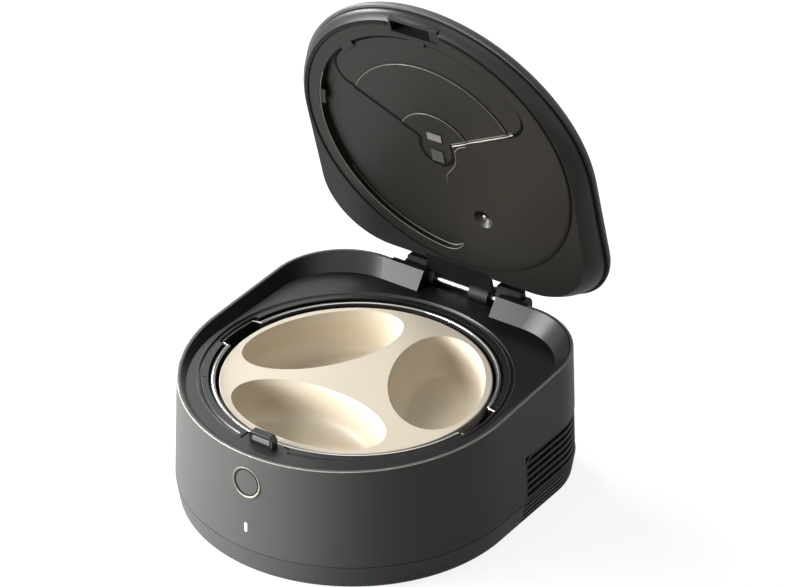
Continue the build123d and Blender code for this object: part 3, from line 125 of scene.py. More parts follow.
def moulded(name, hex_code, deep_hex, roughness, grain_mm, grain_depth, specular=0.4):
    """A moulded surface with a fine grain and a faint variation in tone and sheen."""
    material, tree, output = new_material(name)
    place = add_node(tree, "ShaderNodeTexCoord")
    cloud = add_node(
        tree,
        "ShaderNodeTexNoise",
        {"Vector": place.outputs["Object"], "Scale": CLOUDS_PER_METRE, "Detail": 3.0},
    )
    tone = add_node(
        tree,
        "ShaderNodeMix",
        {"Factor": cloud.outputs["Fac"], "A": linear(deep_hex), "B": linear(hex_code)},
        data_type="RGBA",
    )
    grain = add_node(
        tree,
        "ShaderNodeTexNoise",
        {"Vector": place.outputs["Object"], "Scale": 1000.0 / grain_mm, "Detail": 2.0},
    )
    sheen = add_node(
        tree,
        "ShaderNodeMapRange",
        {
            "Value": cloud.outputs["Fac"],
            "From Min": NOISE_LOW,
            "From Max": NOISE_HIGH,
            "To Min": roughness - SHEEN_SPREAD,
            "To Max": roughness + SHEEN_SPREAD,
        },
    )
    relief = add_node(
        tree,
        "ShaderNodeBump",
        {"Height": grain.outputs["Fac"], "Strength": GRAIN_STRENGTH, "Distance": grain_depth},
    )
    surface = add_node(
        tree,
        "ShaderNodeBsdfPrincipled",
        {
            "Base Color": tone.outputs["Result"],
            "Roughness": sheen.outputs["Result"],
            "Normal": relief.outputs["Normal"],
            "IOR": MOULDED_IOR,
            "Specular IOR Level": specular,
        },
    )
    tree.links.new(surface.outputs["BSDF"], output.inputs["Surface"])
    return material


# Body and lid cover, from a grained mould: a broad soft highlight that fades round the curve.
charcoal_abs = moulded("charcoal ABS", "#636362", "#5F5F5E", 0.42, 0.5, 0.00004, 0.25)
# Deck, from a smoother mould: nearly black, with a dim reflection of the rim and the lamps.
deck_abs = moulded("black deck ABS", "#11100F", "#0E0E0D", 0.3, 0.5, 0.00002, 0.5)
# Inside of the lid, from a grained mould: black that turns dark grey where a lamp grazes it.
lid_abs = moulded("black lid ABS", "#1D1C1A", "#1A1917", 0.4, 0.5, 0.00003, 0.4)
# Hinge parts, from a coarser mould: they give back little light and stay the darkest plastic.
hinge_abs = moulded("black hinge ABS", "#0C0C0B", "#0A0A09", 0.5, 0.6, 0.00004, 0.25)
# Vents, fan and chassis, moulded with the same coarse grain: dull black slots and ribs.
vent_abs = moulded("black vent ABS", "#161615", "#131312", 0.45, 0.6, 0.00004, 0.35)
# Latch bolt, moulded in grey: a small light part against the black.
trim_abs = moulded("grey trim ABS", "#7C7C7A", "#777775", 0.4, 0.5, 0.00002)
# Painted highlight: a light grey for beads along rounded moulded edges, standing for the light that
# they catch as fine lines.
highlight_abs = moulded("painted highlight ABS", "#7A7871", "#74726B", 0.3, 0.5, 0.00001)
# A dimmer painted highlight, for edges that turn away from the lamps: the line is there, but dim.
dim_highlight_abs = moulded("dim painted highlight ABS", "#4A4946", "#454441", 0.35, 0.5, 0.00001)
# A pale painted highlight, for edges that would mirror the pale room: nearly as light as the tray.
pale_highlight_abs = moulded("pale painted highlight ABS", "#CFCABD", "#C8C3B6", 0.3, 0.5, 0.00001)
# Gears, hub and bush, moulded without pigment: a warm off-white.
inner_abs = moulded("natural nylon", "#D9D6CC", "#D0CDC2", 0.45, 0.6, 0.00003)
# Tray, from a polished mould: waxy cream with smooth shading in the bowls.
tray_plastic = moulded("cream polypropylene", "#E4D9C5", "#E0D5C0", 0.36, 1.2, 0.00002)
# Feet and gasket, moulded silicone rubber: black with hardly a highlight. The same black is painted
# shade on beads in dark gaps and at the foot of steps and tabs, and in the well.
silicone_and_shade = moulded("black silicone and painted shade", "#0D0D0C", "#0B0B0A", 0.65, 0.8, 0.00003, 0.25)
# Circuit boards, fibreglass under a sprayed lacquer: green with a thin gloss.
board_green = moulded("circuit board lacquer", "#1F5B35", "#1A4F2D", 0.35, 0.8, 0.00001)
# Insulation, foamed with closed cells: open pores on the cut face take all the light. The same black is
# painted shade on the strip round the shutter and in the gap under the pocket rim.
foam_and_shade = moulded("black closed foam and painted shade", "#101010", "#0C0C0C", 0.9, 2.5, 0.0003, 0.1)
# Cooling element, pressed and fired: matt white.
alumina = moulded("alumina ceramic", "#E6E5E0", "#DEDDD8", 0.5, 0.8, 0.00001)
print("moulded finishes made")

# %% [markdown]
# A metal has no colour of its own under the highlight: it shows what it mirrors, tinted. Rolling,
# grinding and milling leave fine parallel lines, which stretch that mirror image. The Principled
# shader's anisotropy could do this too, but noise that is squeezed along one axis also shows the lines
# themselves. The lines are drawn 0.6 to 1 mm apart, because the real ones are too fine to show.

# %% Metal finishes
LINES_SMOOTHER = 0.02
LINES_ROUGHER = 0.03


def drawn_metal(name, hex_code, roughness, line_mm, stretch):
    """Metal with fine lines along one direction."""
    material, tree, output = new_material(name)
    place = add_node(tree, "ShaderNodeTexCoord")
    squeeze = add_node(
        tree, "ShaderNodeMapping", {"Vector": place.outputs["Object"], "Scale": stretch}
    )
    lines = add_node(
        tree,
        "ShaderNodeTexNoise",
        {"Vector": squeeze.outputs["Vector"], "Scale": 1000.0 / line_mm, "Detail": 3.0},
    )
    rough = add_node(
        tree,
        "ShaderNodeMapRange",
        {
            "Value": lines.outputs["Fac"],
            "From Min": NOISE_LOW,
            "From Max": NOISE_HIGH,
            "To Min": roughness - LINES_SMOOTHER,
            "To Max": roughness + LINES_ROUGHER,
        },
    )
    surface = add_node(
        tree,
        "ShaderNodeBsdfPrincipled",
        {"Base Color": linear(hex_code), "Metallic": 1.0, "Roughness": rough.outputs["Result"]},
    )
    tree.links.new(surface.outputs["BSDF"], output.inputs["Surface"])
    return material


# Well, pressed from rolled sheet: a grey mirror, slightly blurred up and down.
stainless = drawn_metal("pressed stainless steel", "#A3A09B", 0.18, 0.6, (1.0, 1.0, 0.1))
# Rim of the well, rolled and then polished: the brightest line on the feeder.
polished_rim = drawn_metal("polished stainless rim", "#D8D6D1", 0.12, 0.6, (1.0, 1.0, 0.1))
# Rod, shaft, screws and motor cans, ground along their length: a soft streak of light.
ground_steel = drawn_metal("ground steel", "#A5A39F", 0.28, 0.8, (0.05, 1.0, 1.0))
# Cold block and heat sink, milled: pale and satin.
cast_aluminium = drawn_metal("milled aluminium", "#D4D4D6", 0.35, 1.0, (1.0, 0.1, 1.0))
print("metals made")

# %% [markdown]
# The status light is a pill of frosted clear plastic, lit from behind by a small lamp. A glass shader
# with a lamp behind it would need many samples for one small spot. A little emission over its own
# colour looks the same, and fine noise makes the glow as uneven as the frosting.

# %% Light pipe
FROST_PER_METRE = 900.0
GLOW_LOW, GLOW_HIGH = 0.4, 0.55
light_pipe, tree, output = new_material("frosted light pipe")
place = add_node(tree, "ShaderNodeTexCoord")
frost = add_node(
    tree, "ShaderNodeTexNoise", {"Vector": place.outputs["Object"], "Scale": FROST_PER_METRE}
)
glow = add_node(
    tree,
    "ShaderNodeMapRange",
    {"Value": frost.outputs["Fac"], "To Min": GLOW_LOW, "To Max": GLOW_HIGH},
)
lens = add_node(
    tree,
    "ShaderNodeBsdfPrincipled",
    {
        "Base Color": linear("#F2F4F6"),
        "Roughness": 0.4,
        "Emission Color": linear("#F4F8FF"),
        "Emission Strength": glow.outputs["Result"],
    },
)
tree.links.new(lens.outputs["BSDF"], output.inputs["Surface"])
print("light pipe made")

# %% [markdown]
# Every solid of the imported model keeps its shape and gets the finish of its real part. A loop over one
# list does it, so that the list can be read and changed like a parts list.

# %% Finishes of the carried nodes
FINISHES = {
    "feet": silicone_and_shade,
    "bottom_pan": charcoal_abs,
    "body_shell": charcoal_abs,
    "vent_grille_right": vent_abs,
    "vent_grille_left": vent_abs,
    "deck": deck_abs,
    "hinge_cover": hinge_abs,
    "hinge_rod": ground_steel,
    "cooling_pot": stainless,
    "food_tray": tray_plastic,
    "drive_hub": inner_abs,
    "turntable_shaft": ground_steel,
    "shaft_bush": inner_abs,
    "table_gear": inner_abs,
    "motor_pinion": inner_abs,
    "gear_motor": ground_steel,
    "insulation": foam_and_shade,
    "chassis": vent_abs,
    "case_screws": ground_steel,
    "cold_block": cast_aluminium,
    "cooling_element": alumina,
    "heat_sink": cast_aluminium,
    "fan_frame": vent_abs,
    "fan_rotor": vent_abs,
    "main_board": board_green,
    "power_inlet": vent_abs,
    "button_ring": charcoal_abs,
    "button_cap": charcoal_abs,
    "indicator_light": light_pipe,
    "front_board": board_green,
    "latch_housing": deck_abs,
    "latch_bolt": trim_abs,
    "lid_panel": lid_abs,
    "lid_gasket": silicone_and_shade,
    "latch_catch": lid_abs,
    "lid_shell": charcoal_abs,
    "lid_arm": hinge_abs,
    "shutter": lid_abs,
    "shutter_clips": lid_abs,
    "shutter_gear": inner_abs,
    "shutter_pinion": inner_abs,
    "shutter_motor": ground_steel,
    "sensor_probe": ground_steel,
}
for name, finish in FINISHES.items():
    piece = nodes[name]
    piece.data.materials.clear()
    piece.data.materials.append(finish)
print("finished", len(FINISHES), "of", len(nodes))

# %% [markdown]
# Places on the open lid are easier to give on the shut lid, where its inner face lies level. The first
# helper takes such a point and swings it up about the hinge. The other two give points on a circle.

# %% Places on the lid and on circles
LID_OPEN = math.radians(74.0)
LID = Matrix.Rotation(-LID_OPEN, 4, "X")
HINGE = Vector((0.0, 0.1512, 0.1068))
LID_FACE_Z = 0.10415


def on_lid(x, y, height):
    """The open lid's point at these millimetres across, along and above its inner face."""
    shut = Vector((x / 1000, y / 1000, LID_FACE_Z + height / 1000))
    return HINGE + LID @ (shut - HINGE)


def polar(radius, angle):
    """The point at this radius in millimetres and angle in degrees."""
    return (radius * math.cos(math.radians(angle)), radius * math.sin(math.radians(angle)))


def arc(radius, start, stop, steps, centre=(0.0, 0.0)):
    """Points in millimetres on an arc from start to stop degrees."""
    turns = [math.radians(start + (stop - start) * k / steps) for k in range(steps + 1)]
    return [(centre[0] + radius * math.cos(t), centre[1] + radius * math.sin(t)) for t in turns]


print("lid open", round(math.degrees(LID_OPEN)), "degrees")

# %% [markdown]
# Two ways of making a piece. The first turns a bmesh, Blender's mesh for editing in code, into a
# finished piece. The second makes a thin round bead along a line. Rounded edges catch the light as fine
# lines, and on the black lid these lines are what the eye reads. They could be bevels on the solids, but
# at this size a bevel is less than a pixel and its light is lost, so each is a bead of its own, and its
# colour paints that light: a light bead is a painted highlight, a black bead painted shade. A bead is a
# poly curve with a round bevel, turned into a mesh.

# %% Pieces and beads
BEVEL_ROUND = 2


def from_bmesh(name, shape, finish, body):
    """A piece from this bmesh, with its finish, riding on a body."""
    bmesh.ops.recalc_face_normals(shape, faces=shape.faces)
    mesh = bpy.data.meshes.new(name)
    shape.to_mesh(mesh)
    shape.free()
    mesh.materials.append(finish)
    piece = placed(name, mesh)
    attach(piece, body)
    return piece


def bead(name, points, thick, finish, body, closed=False, shares=None):
    """A round bead of this radius in metres, or of a share of it at each point, riding on a body."""
    line = bpy.data.curves.new(name, "CURVE")
    line.dimensions = "3D"
    line.bevel_depth = thick
    line.bevel_resolution = BEVEL_ROUND
    line.use_fill_caps = True
    run = line.splines.new("POLY")
    run.points.add(len(points) - 1)
    run.use_cyclic_u = closed
    for spot, place, share in zip(run.points, points, shares or [1.0] * len(points)):
        spot.co = (*place, 1.0)
        spot.radius = share
    shape = bpy.data.objects.new(name, line)
    mesh = bpy.data.meshes.new_from_object(shape)
    bpy.data.objects.remove(shape)
    mesh.materials.append(finish)
    for face in mesh.polygons:
        face.use_smooth = True
    piece = placed(name, mesh)
    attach(piece, body)
    return piece


print("bead bevel", BEVEL_ROUND)

# %% [markdown]
# The shutter is moulded in three levels that step down from its hub to its edge. At each step a light
# bead is the painted highlight of the rounded edge, and a black bead beside it is the painted shade that
# the step casts on the face below. That shade could be left to the lamps, but they are soft and wash it
# out, so it is a bead as well.

# %% Shutter steps
STEPS = ((80.0, 1.4), (34.0, 0.6))
STEP_ARC = (-149.0, -31.0, 60)
LINE_IN, LINE_DEEP = 0.3, 0.15
SHADE_OUT, SHADE_DEEP = 0.5, 0.6
for radius, height in STEPS:
    points = [on_lid(x, y, height + LINE_DEEP) for x, y in arc(radius - LINE_IN, *STEP_ARC)]
    bead(f"shutter_step_{radius:.0f}", points, 0.00035, highlight_abs, "shutter")
    shade = [on_lid(x, y, height + SHADE_DEEP) for x, y in arc(radius + SHADE_OUT, *STEP_ARC)]
    bead(f"shutter_shade_{radius:.0f}", shade, 0.0005, silicone_and_shade, "shutter")
print("shutter steps at", [radius for radius, _ in STEPS])

# %% [markdown]
# A black strip along the shutter's edges is painted shade: it draws the dark shade lines at the
# shutter's edges. The strip follows the shutter's outline: one radial edge, a round corner, the outer
# arc, the second corner and edge, and back round the hub. The outline could be read from the solid's
# mesh. Worked out from its radii and angles it is even, and it gets two close points wherever the
# shutter's face steps down.

# %% Shutter outline
HALF_SECTOR = 62.3
SHUTTER_R = 106.0
SHUTTER_CORNER = 19.0
HUB_R = 16.2
HUB_STEPS = 40
CORNER_STEPS = 12
OUTER_STEPS = 48
OUTER_LEVEL = 2.2
shift = math.degrees(math.asin(SHUTTER_CORNER / (SHUTTER_R - SHUTTER_CORNER)))
left = -90.0 - HALF_SECTOR
right = HALF_SECTOR - 90.0
edge_end = (SHUTTER_R - SHUTTER_CORNER) * math.cos(math.radians(shift))
RADII = (18.5, 26.0, 33.9, 34.1, 50.0, 65.0, 79.9, 80.1, edge_end)
corner_left = polar(SHUTTER_R - SHUTTER_CORNER, left + shift)
corner_right = polar(SHUTTER_R - SHUTTER_CORNER, right - shift)
outline = [polar(r, left) for r in RADII]
outline += arc(SHUTTER_CORNER, left - 90.0, left + shift, CORNER_STEPS, corner_left)[1:]
outline += arc(SHUTTER_R, left + shift, right - shift, OUTER_STEPS)[1:]
outline += arc(SHUTTER_CORNER, right - shift, HALF_SECTOR, CORNER_STEPS, corner_right)[1:]
outline += [polar(r, right) for r in reversed(RADII[:-1])]
outline += arc(HUB_R, HALF_SECTOR - 84.0, 264.0 - HALF_SECTOR, HUB_STEPS)


def level(x, y):
    """The depth in millimetres of the shutter's face at this point."""
    radius = math.hypot(x, y)
    for step, depth in reversed(STEPS):
        if radius < step:
            return depth
    return OUTER_LEVEL


print("outline", len(outline), "points")

# %% [markdown]
# The strip is a thin black sheet of painted shade on the face. It could be a bevelled curve, but a
# curve turns its section at the steps, and this strip stays flat on the face. So it is a ribbon of
# four-cornered sections, broad along the left edge and the hub and narrow elsewhere. A pale bead and a
# dimmer one along its right edge are painted highlights, where the moulded edges beside it meet the
# light.

# %% Shutter shade strip
SHADE_STRIP_NARROW = 1.5
SHADE_STRIP_BROAD = 2.4
SHADE_STRIP_THICK = 0.3
SHADE_STRIP_TUCK = 0.1
SHADE_STRIP_PROUD = 0.12
SHADE_STRIP_FOOT = 4.4
NARROW_RUN = range(len(RADII), len(outline) - HUB_STEPS - 1)
ribbon = bmesh.new()
rows = []
for k, (x, y) in enumerate(outline):
    ahead = outline[(k + 1) % len(outline)]
    behind = outline[k - 1]
    along = Vector((ahead[0] - behind[0], ahead[1] - behind[1])).normalized()
    wide = SHADE_STRIP_NARROW if k in NARROW_RUN else SHADE_STRIP_BROAD
    inner = (x - along.y * wide, y + along.x * wide)
    outer = (x + along.y * SHADE_STRIP_PROUD, y - along.x * SHADE_STRIP_PROUD)
    top = level(x, y) - SHADE_STRIP_THICK
    tuck = top + SHADE_STRIP_THICK + SHADE_STRIP_TUCK
    section = ((inner, tuck), (inner, top), (outer, top), (outer, SHADE_STRIP_FOOT))
    rows.append([ribbon.verts.new(on_lid(*place, height)) for place, height in section])
for first, second in zip(rows, rows[1:] + rows[:1]):
    for a in range(4):
        b = (a + 1) % 4
        ribbon.faces.new((first[a], first[b], second[b], second[a]))
# Painted shade: the black strip round the shutter's outline.
from_bmesh("shutter_shade_strip", ribbon, foam_and_shade, "shutter")

BRIGHT_RISE = 0.35
INSIDE_RISE = 0.15
INSIDE_STEP = 1.7
EDGE_NORMAL = (0.464, 0.886)
right_edge = [polar(r, right) for r in RADII]
bright = [on_lid(*spot, level(r, 0) - BRIGHT_RISE) for spot, r in zip(right_edge, RADII)]
# Painted highlights along the shutter's right edge.
bead("shutter_edge_highlight", bright, 0.0005, pale_highlight_abs, "shutter")
inside = [(x - INSIDE_STEP * EDGE_NORMAL[0], y - INSIDE_STEP * EDGE_NORMAL[1]) for x, y in right_edge]
inside_line = [on_lid(x, y, level(x, y) - INSIDE_RISE) for x, y in inside]
bead("shutter_edge_inner_highlight", inside_line, 0.0003, highlight_abs, "shutter")
print("shade strip runs", len(outline), "steps")

# %% [markdown]
# Two small tabs stand on the shutter's hub, perhaps for the hand that takes it out to wash. Each is
# taken as a low moulded block with worn edges. A cube would look cut with a knife, so its edges are
# bevelled. The first tab is coloured as a painted highlight and the second as a dimmer one, and a black
# bead round each foot is the painted shade where it meets the hub.

# %% Hub tabs
TABS = ((-12.0, 14.0, 8.0, highlight_abs), (7.0, 12.0, 12.0, dim_highlight_abs))
TAB_TRIM = 0.4
TAB_HIGH = 0.8
TAB_MID = 0.35
TAB_BEVEL = 0.3
TAB_FOOT = 0.55
for number, (mid_y, wide, deep, finish) in enumerate(TABS):
    plate = bmesh.new()
    bmesh.ops.create_cube(plate, size=1.0)
    for vert in plate.verts:
        x, y = vert.co.x * (wide - TAB_TRIM), vert.co.y * (deep - TAB_TRIM) + mid_y
        vert.co = Vector((x, y, vert.co.z * TAB_HIGH + TAB_MID))
    bmesh.ops.bevel(plate, geom=plate.edges[:], offset=TAB_BEVEL, segments=2, affect="EDGES")
    for vert in plate.verts:
        vert.co = on_lid(*vert.co)
    from_bmesh(f"hub_tab_{number}", plate, finish, "shutter")
    corners = ((-wide / 2, -deep / 2), (wide / 2, -deep / 2), (wide / 2, deep / 2), (-wide / 2, deep / 2))
    foot = [on_lid(x, mid_y + y, TAB_FOOT) for x, y in corners]
    bead(f"hub_tab_shade_{number}", foot, 0.0005, silicone_and_shade, "shutter", closed=True)
print("hub tabs", len(TABS))

# %% [markdown]
# The pocket that the shutter turns into is moulded into the lid's inner panel. Beads paint its light and
# shade: a painted highlight on its rounded rim, painted shade in the gap under it, and a second painted
# highlight at its foot. They follow the shutter's outline a little further out. Near the hub the rim
# narrows to a throat and its highlight fades, so that bead gets thinner towards its end.

# %% Pocket rim
POCKET_R = 107.5
POCKET_START = 82.9
CORNER_RUN = 60.0
pocket_shift = math.degrees(math.asin(SHUTTER_CORNER / (POCKET_R - SHUTTER_CORNER)))
pocket_turn = POCKET_START + pocket_shift
pocket_corner = polar(POCKET_R - SHUTTER_CORNER, pocket_turn)


def pocket_line(inset, stop):
    """The pocket's rim, moved in by the inset, round its first corner and up to this angle."""
    line = arc(SHUTTER_CORNER - inset, POCKET_START - CORNER_RUN, pocket_turn, 14, pocket_corner)
    return line + arc(POCKET_R - inset, pocket_turn, stop, 60)[1:]


# Each line's name, inset, depth, last angle, radius and finish.
POCKET_LINES = (
    ("pocket_bright", 0.0, 0.0, 205.0, 0.00035, highlight_abs),
    ("pocket_dark", 0.55, 0.9, 205.0, 0.0006, foam_and_shade),
    ("pocket_foot", 0.7, 4.3, 150.0, 0.00045, highlight_abs),
)
for name, inset, depth, stop, thick, finish in POCKET_LINES:
    points = [on_lid(x, y, depth) for x, y in pocket_line(inset, stop)]
    bead(name, points, thick, finish, "lid")
THROAT = (
    (29.6, -13.1),
    (21.5, -8.6),
    (17.6, -3.5),
    (17.6, 4.0),
    (15.8, 11.0),
    (10.5, 18.4),
    (6.2, 23.5),
    (4.8, 28.5),
    (4.9, 34.0),
)
THROAT_SHARES = [1.0, 1.0, 1.0, 1.0, 1.0, 0.9, 0.75, 0.5, 0.25]
throat = [on_lid(x, y, 0.0) for x, y in THROAT]
bead("pocket_throat", throat, 0.0004, highlight_abs, "lid", shares=THROAT_SHARES)
print("pocket rim starts at", POCKET_START, "degrees")

# %% [markdown]
# The metal well has a rolled rim. It could be a torus, but at the two finger recesses the rim swings
# outwards and gets thinner, so it is a bead with its own radius at each point. Its crown mirrors the
# bright studio and its sides mirror the black deck, which gives one clean line.

# %% Rolled rim of the well
RIM_R = 109.6
RECESS_R = 115.9
RECESS_HALF = 10.3
RIM_TOP = 101.6
RIM_SINK = 0.4
RIM_THINNER = 0.6
SWING = 1.6
HALF_DEGREES = 720
rim_points, rim_shares = [], []
for k in range(HALF_DEGREES):
    turn = k / 2.0
    off = min(turn % 180.0, 180.0 - turn % 180.0)
    blend = min(1.0, max(0.0, (RECESS_HALF + SWING / 2 - off) / SWING))
    blend = blend * blend * (3.0 - 2.0 * blend)
    radius = RIM_R + (RECESS_R - RIM_R) * blend
    share = 1.0 - RIM_THINNER * blend
    x, y = polar(radius, turn)
    rim_points.append((x / 1000, y / 1000, (RIM_TOP - RIM_SINK * share) / 1000))
    rim_shares.append(share)
bead("rolled_rim", rim_points, 0.0011, polished_rim, "base", closed=True, shares=rim_shares)
print("rolled rim", len(rim_points), "points")

# %% [markdown]
# Two places on carried solids get painted light. The case's rounded upper edge gets a pale painted
# highlight all round, and the well inside its rim gets black painted shade. Each could be a separate
# piece, but the faces are there already, so they only get a second material. The rounded faces are
# found by their slope and by their height against the sloping rim, the well's by their distance from
# the axis.

# %% Rounded case edge and dark well
RIM_LOW = 0.1095
RIM_SLOPE = 0.0472
ROUNDED_LEAST, ROUNDED_MOST = 0.25, 0.97
WELL_R = 0.1079
# Painted highlight: the case's rounded upper edge turns pale.
shell = nodes["body_shell"].data
shell.materials.append(pale_highlight_abs)
lit = 0
for face in shell.polygons:
    height = face.center.z - RIM_SLOPE * face.center.y
    if height > RIM_LOW and ROUNDED_LEAST < face.normal.z < ROUNDED_MOST:
        face.material_index = 1
        lit += 1
# Painted shade: the well's faces inside its rim turn black.
well = nodes["cooling_pot"].data
well.materials.append(silicone_and_shade)
for face in well.polygons:
    if math.hypot(face.center.x, face.center.y) < WELL_R:
        face.material_index = 1
print("rounded edge faces", lit)

# %% [markdown]
# The groove in the deck takes the lid's gasket. Its two upper edges are slightly rounded, and a dim
# painted highlight on each draws them as a pair of fine lines round the well, open at the latch. A bevel
# in the solid would need many small faces all round for half a pixel of light, so each edge is a bead.

# %% Edges of the gasket groove
DECK_TOP = 103.85
GROOVE_GAP = 22.5
GROOVE_EDGES = (117.9, 121.4)
for radius in GROOVE_EDGES:
    gap = math.degrees(math.asin(GROOVE_GAP / radius))
    edge = arc(radius, gap - 90.0, 270.0 - gap, 160)
    around = [(x / 1000, y / 1000, DECK_TOP / 1000) for x, y in edge]
    bead(f"groove_edge_{radius:.0f}", around, 0.00022, dim_highlight_abs, "base")
print("groove edges", len(GROOVE_EDGES))

# %% [markdown]
# The photograph is black behind the hinge rod, where this model would be open to the white backdrop. A
# liner there is a guess: a curved black strip that keeps crumbs and light out of the body. It could be
# a solidified plane. Two arcs at each end, joined face by face, give the same strip with its true
# thickness at once.

# %% Hinge liner
LINER_R = 10.0
LINER_THICK = 0.7
LINER_X = (-34.4, 37.4)
LINER_TURNS = [math.radians(t) for t in range(-150, 1, 10)]
liner = bmesh.new()
rows = []
for x in LINER_X:
    for radius in (LINER_R, LINER_R + LINER_THICK):
        places = [Vector((x, radius * math.cos(t), radius * math.sin(t))) for t in LINER_TURNS]
        rows.append([liner.verts.new(HINGE + place / 1000) for place in places])
for a, b in ((0, 1), (1, 3), (3, 2), (2, 0)):
    for k in range(len(LINER_TURNS) - 1):
        liner.faces.new((rows[a][k], rows[a][k + 1], rows[b][k + 1], rows[b][k]))
for k in (0, -1):
    liner.faces.new([rows[a][k] for a in (0, 1, 3, 2)])
from_bmesh("hinge_liner", liner, hinge_abs, "base")
print("hinge liner", LINER_X[1] - LINER_X[0], "mm wide")

# %% [markdown]
# The photograph is black beside the lid's arm too. A moulded block on each outer knuckle, ending just
# under the lid's lower edge, is a guess that closes most of the gap there. It is a box that leans in
# towards its top, as a moulded part does to leave its mould, with bevelled edges. The blocks and the
# liner keep clear of the lid's arm as it turns.

# %% Knuckle blocks
BLOCK_Y = (146.8, 156.6)
BLOCK_Z = (110.0, 121.0)
BLOCK_LEAN = 1.5
BLOCK_BEVEL = 0.0008
BLOCKS = (("left", (-55.5, -35.2)), ("right", (30.3, 54.0)))
for side, (x0, x1) in BLOCKS:
    block = bmesh.new()
    bmesh.ops.create_cube(block, size=1.0)
    for vert in block.verts:
        high = vert.co.z > 0
        lean = BLOCK_LEAN if high else 0.0
        x = x0 if vert.co.x < 0 else x1
        y = BLOCK_Y[0] + lean if vert.co.y < 0 else BLOCK_Y[1] - lean
        vert.co = Vector((x, y, BLOCK_Z[1] if high else BLOCK_Z[0])) / 1000
    bmesh.ops.bevel(block, geom=block.edges[:], offset=BLOCK_BEVEL, segments=3, affect="EDGES")
    from_bmesh(f"knuckle_block_{side}", block, hinge_abs, "base")
print("knuckle blocks", len(BLOCKS))

# %% [markdown]
# The push button's cap sits flush in the wall, inside a chamfered ring. The chamfer is drawn as a thin
# black line of painted shade round the cap, and as a pale painted highlight, a crescent that is widest at
# the lower right where the light falls. The wall is curved, so flat rings would dip in and out of it.
# Instead, rays are cast at the wall from the front, and the lines are laid through the points that they
# hit.

# %% Button lines
BUTTON_AT = (0.0, 81.0)
CAP_R = 10.6
CRESCENT_R = 12.2
CRESCENT_THIN, CRESCENT_FULL = 0.35, 0.65
CRESCENT_TURN = 50.0
RING_STEPS = 72
RAY_FROM_Y = -0.3
RAY_SPREAD = 0.5
wall_points, wall_faces = [], []
for name in ("body_shell", "button_ring", "button_cap"):
    mesh = nodes[name].data
    wall_faces += [[k + len(wall_points) for k in face.vertices] for face in mesh.polygons]
    wall_points += [nodes[name].matrix_world @ vert.co for vert in mesh.vertices]
wall_tree = BVHTree.FromPolygons(wall_points, wall_faces)


def on_wall(x, z):
    """The foremost point of the front wall close to these millimetres across and up."""
    hits = []
    for dx, dz in ((RAY_SPREAD, 0.0), (-RAY_SPREAD, 0.0), (0.0, RAY_SPREAD), (0.0, -RAY_SPREAD)):
        start = Vector(((x + dx) / 1000, RAY_FROM_Y, (z + dz) / 1000))
        hit = wall_tree.ray_cast(start, Vector((0.0, 1.0, 0.0)))
        if hit[0] is not None:
            hits.append(hit[0].y)
    return (x / 1000, min(hits), z / 1000)


def ring_on_wall(radius):
    """A ring of points round the button."""
    ring = arc(radius, 0.0, 355.0, RING_STEPS - 1)
    return [on_wall(x + BUTTON_AT[0], z + BUTTON_AT[1]) for x, z in ring]


bead("button_gap", ring_on_wall(CAP_R), 0.0004, silicone_and_shade, "base", closed=True)
turns = [math.radians(5.0 * k + CRESCENT_TURN) for k in range(RING_STEPS)]
wax = [CRESCENT_THIN + CRESCENT_FULL * max(0.0, math.cos(t)) for t in turns]
bead("button_crescent", ring_on_wall(CRESCENT_R), 0.0009, pale_highlight_abs, "base", closed=True, shares=wax)
print("button lines", RING_STEPS, "points each")

# %% [markdown]
# The latch block at the front has one rounded moulded edge along its top and down its right side, drawn
# as a painted highlight. It follows four corners, so it is a bead with straight runs.

# %% Latch line
LATCH_LINE = ((-9.3, 112.6), (7.8, 112.6), (10.4, 109.1), (10.4, 104.6))
LATCH_Y = -120.7
latch_edge = [(x / 1000, LATCH_Y / 1000, z / 1000) for x, z in LATCH_LINE]
bead("latch_edge", latch_edge, 0.00028, highlight_abs, "base")
print("latch line", len(LATCH_LINE), "points")

# %% [markdown]
# The floor is a sheet of pale paper. A catalogue picture has it blown out to white, and the usual way to
# that is more light, which would burn out the tray too. Here the paper stays grey for the light that
# falls on it, so it keeps the feeder's soft shadow, and it only adds brightness where the camera, a
# mirror or glass looks at it.

# %% Floor
FLOOR_HALF = 6.0
FLOOR_LIFT = 0.88
MIRROR_SHARE = 0.4
WHITE = (1.0, 1.0, 1.0, 1.0)


def seen_rays(tree):
    """A socket that is 1 where the camera looks, and one for where a mirror or glass looks."""
    rays = add_node(tree, "ShaderNodeLightPath")
    mirrored = add_node(
        tree,
        "ShaderNodeMath",
        {0: rays.outputs["Is Glossy Ray"], 1: rays.outputs["Is Transmission Ray"]},
        operation="MAXIMUM",
    )
    return rays.outputs["Is Camera Ray"], mirrored.outputs[0]


floor_mesh = bpy.data.meshes.new("floor")
floor_shape = bmesh.new()
bmesh.ops.create_grid(floor_shape, x_segments=2, y_segments=2, size=FLOOR_HALF)
floor_shape.to_mesh(floor_mesh)
floor_shape.free()
floor = placed("floor", floor_mesh)
paper, tree, output = new_material("white paper floor")
by_camera, by_mirror = seen_rays(tree)
dimmed = add_node(tree, "ShaderNodeMath", {0: by_mirror, 1: MIRROR_SHARE}, operation="MULTIPLY")
seen = add_node(tree, "ShaderNodeMath", {0: by_camera, 1: dimmed.outputs[0]}, operation="MAXIMUM")
lift = add_node(tree, "ShaderNodeMath", {0: seen.outputs[0], 1: FLOOR_LIFT}, operation="MULTIPLY")
matte = add_node(tree, "ShaderNodeBsdfDiffuse", {"Color": linear("#8E8C88")})
white = add_node(tree, "ShaderNodeEmission", {"Color": WHITE, "Strength": lift.outputs[0]})
both = add_node(tree, "ShaderNodeAddShader", {0: matte.outputs[0], 1: white.outputs[0]})
tree.links.new(both.outputs[0], output.inputs["Surface"])
floor_mesh.materials.append(paper)
print("floor", 2 * FLOOR_HALF, "m across")

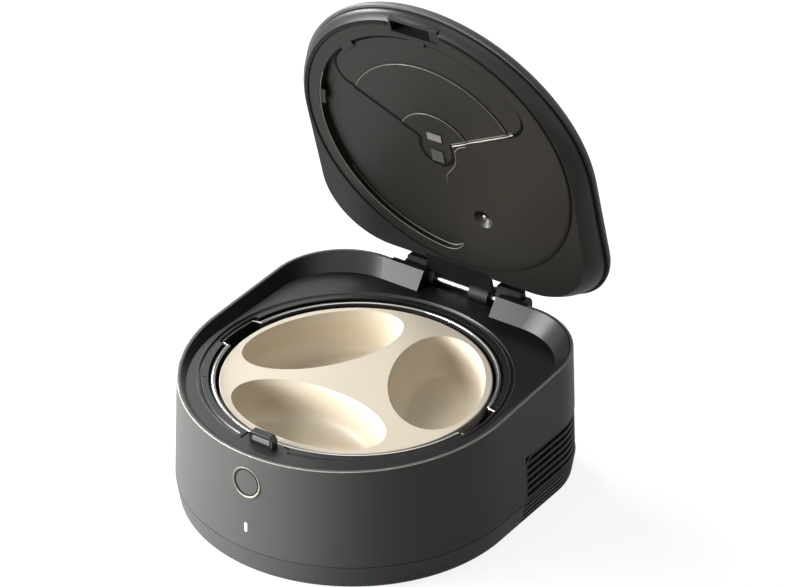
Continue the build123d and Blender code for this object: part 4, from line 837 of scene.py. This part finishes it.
# %% [markdown]
# The backdrop is the world itself: white where the camera, a mirror or glass looks, and a weak even
# light for everything else. A curved paper backdrop would do the same from one side only.

# %% Backdrop
ROOM_LIGHT = 0.07
world = bpy.data.worlds.new("studio")
bpy.context.scene.world = world
world.use_nodes = True
tree = world.node_tree
tree.nodes.clear()
world_out = tree.nodes.new("ShaderNodeOutputWorld")
by_camera, by_mirror = seen_rays(tree)
seen = add_node(tree, "ShaderNodeMath", {0: by_camera, 1: by_mirror}, operation="MAXIMUM")
room = add_node(tree, "ShaderNodeBackground", {"Color": WHITE, "Strength": ROOM_LIGHT})
backdrop = add_node(tree, "ShaderNodeBackground", {"Color": WHITE, "Strength": 1.0})
both = add_node(
    tree,
    "ShaderNodeMixShader",
    {0: seen.outputs[0], 1: room.outputs[0], 2: backdrop.outputs[0]},
)
tree.links.new(both.outputs[0], world_out.inputs["Surface"])
print("room light", ROOM_LIGHT)

# %% [markdown]
# The lamps are soft boxes, as in a studio. Two at the left light the case from a high and a low place,
# so it fades to black towards the right. A narrow one in front draws a strip on the curved wall, one
# behind at the left rims the lid, and a weak one overhead fills the tray. One large lamp would be
# simpler, but it leaves no dark side.

# %% Lamps
# Each lamp's name, place, aim, width and height in metres, and watts.
LAMPS = (
    ("left soft box", (-1.36, -0.95, 0.8), (0, 0, 0.1), (0.9, 0.9), 25),
    ("low left soft box", (-1.24, -1.08, 0.42), (0, 0, 0.12), (0.6, 0.45), 28),
    ("front strip box", (-0.82, -1.37, 0.58), (0, 0.1, 0.12), (0.35, 0.5), 11),
    ("rear rim box", (-1.5, 0.72, 1.05), (0, 0.1, 0.3), (0.5, 0.5), 26),
    ("overhead soft box", (0.1, 0.1, 1.9), (0, 0, 0.1), (1.2, 1.2), 5),
)
for name, at, aim, size, watts in LAMPS:
    data = bpy.data.lights.new(name, "AREA")
    data.shape = "RECTANGLE"
    data.size, data.size_y = size
    data.energy = watts
    lamp = placed(name, data)
    lamp.location = at
    lamp.rotation_euler = (Vector(aim) - Vector(at)).to_track_quat("-Z", "Y").to_euler()
print("lamps", len(LAMPS))
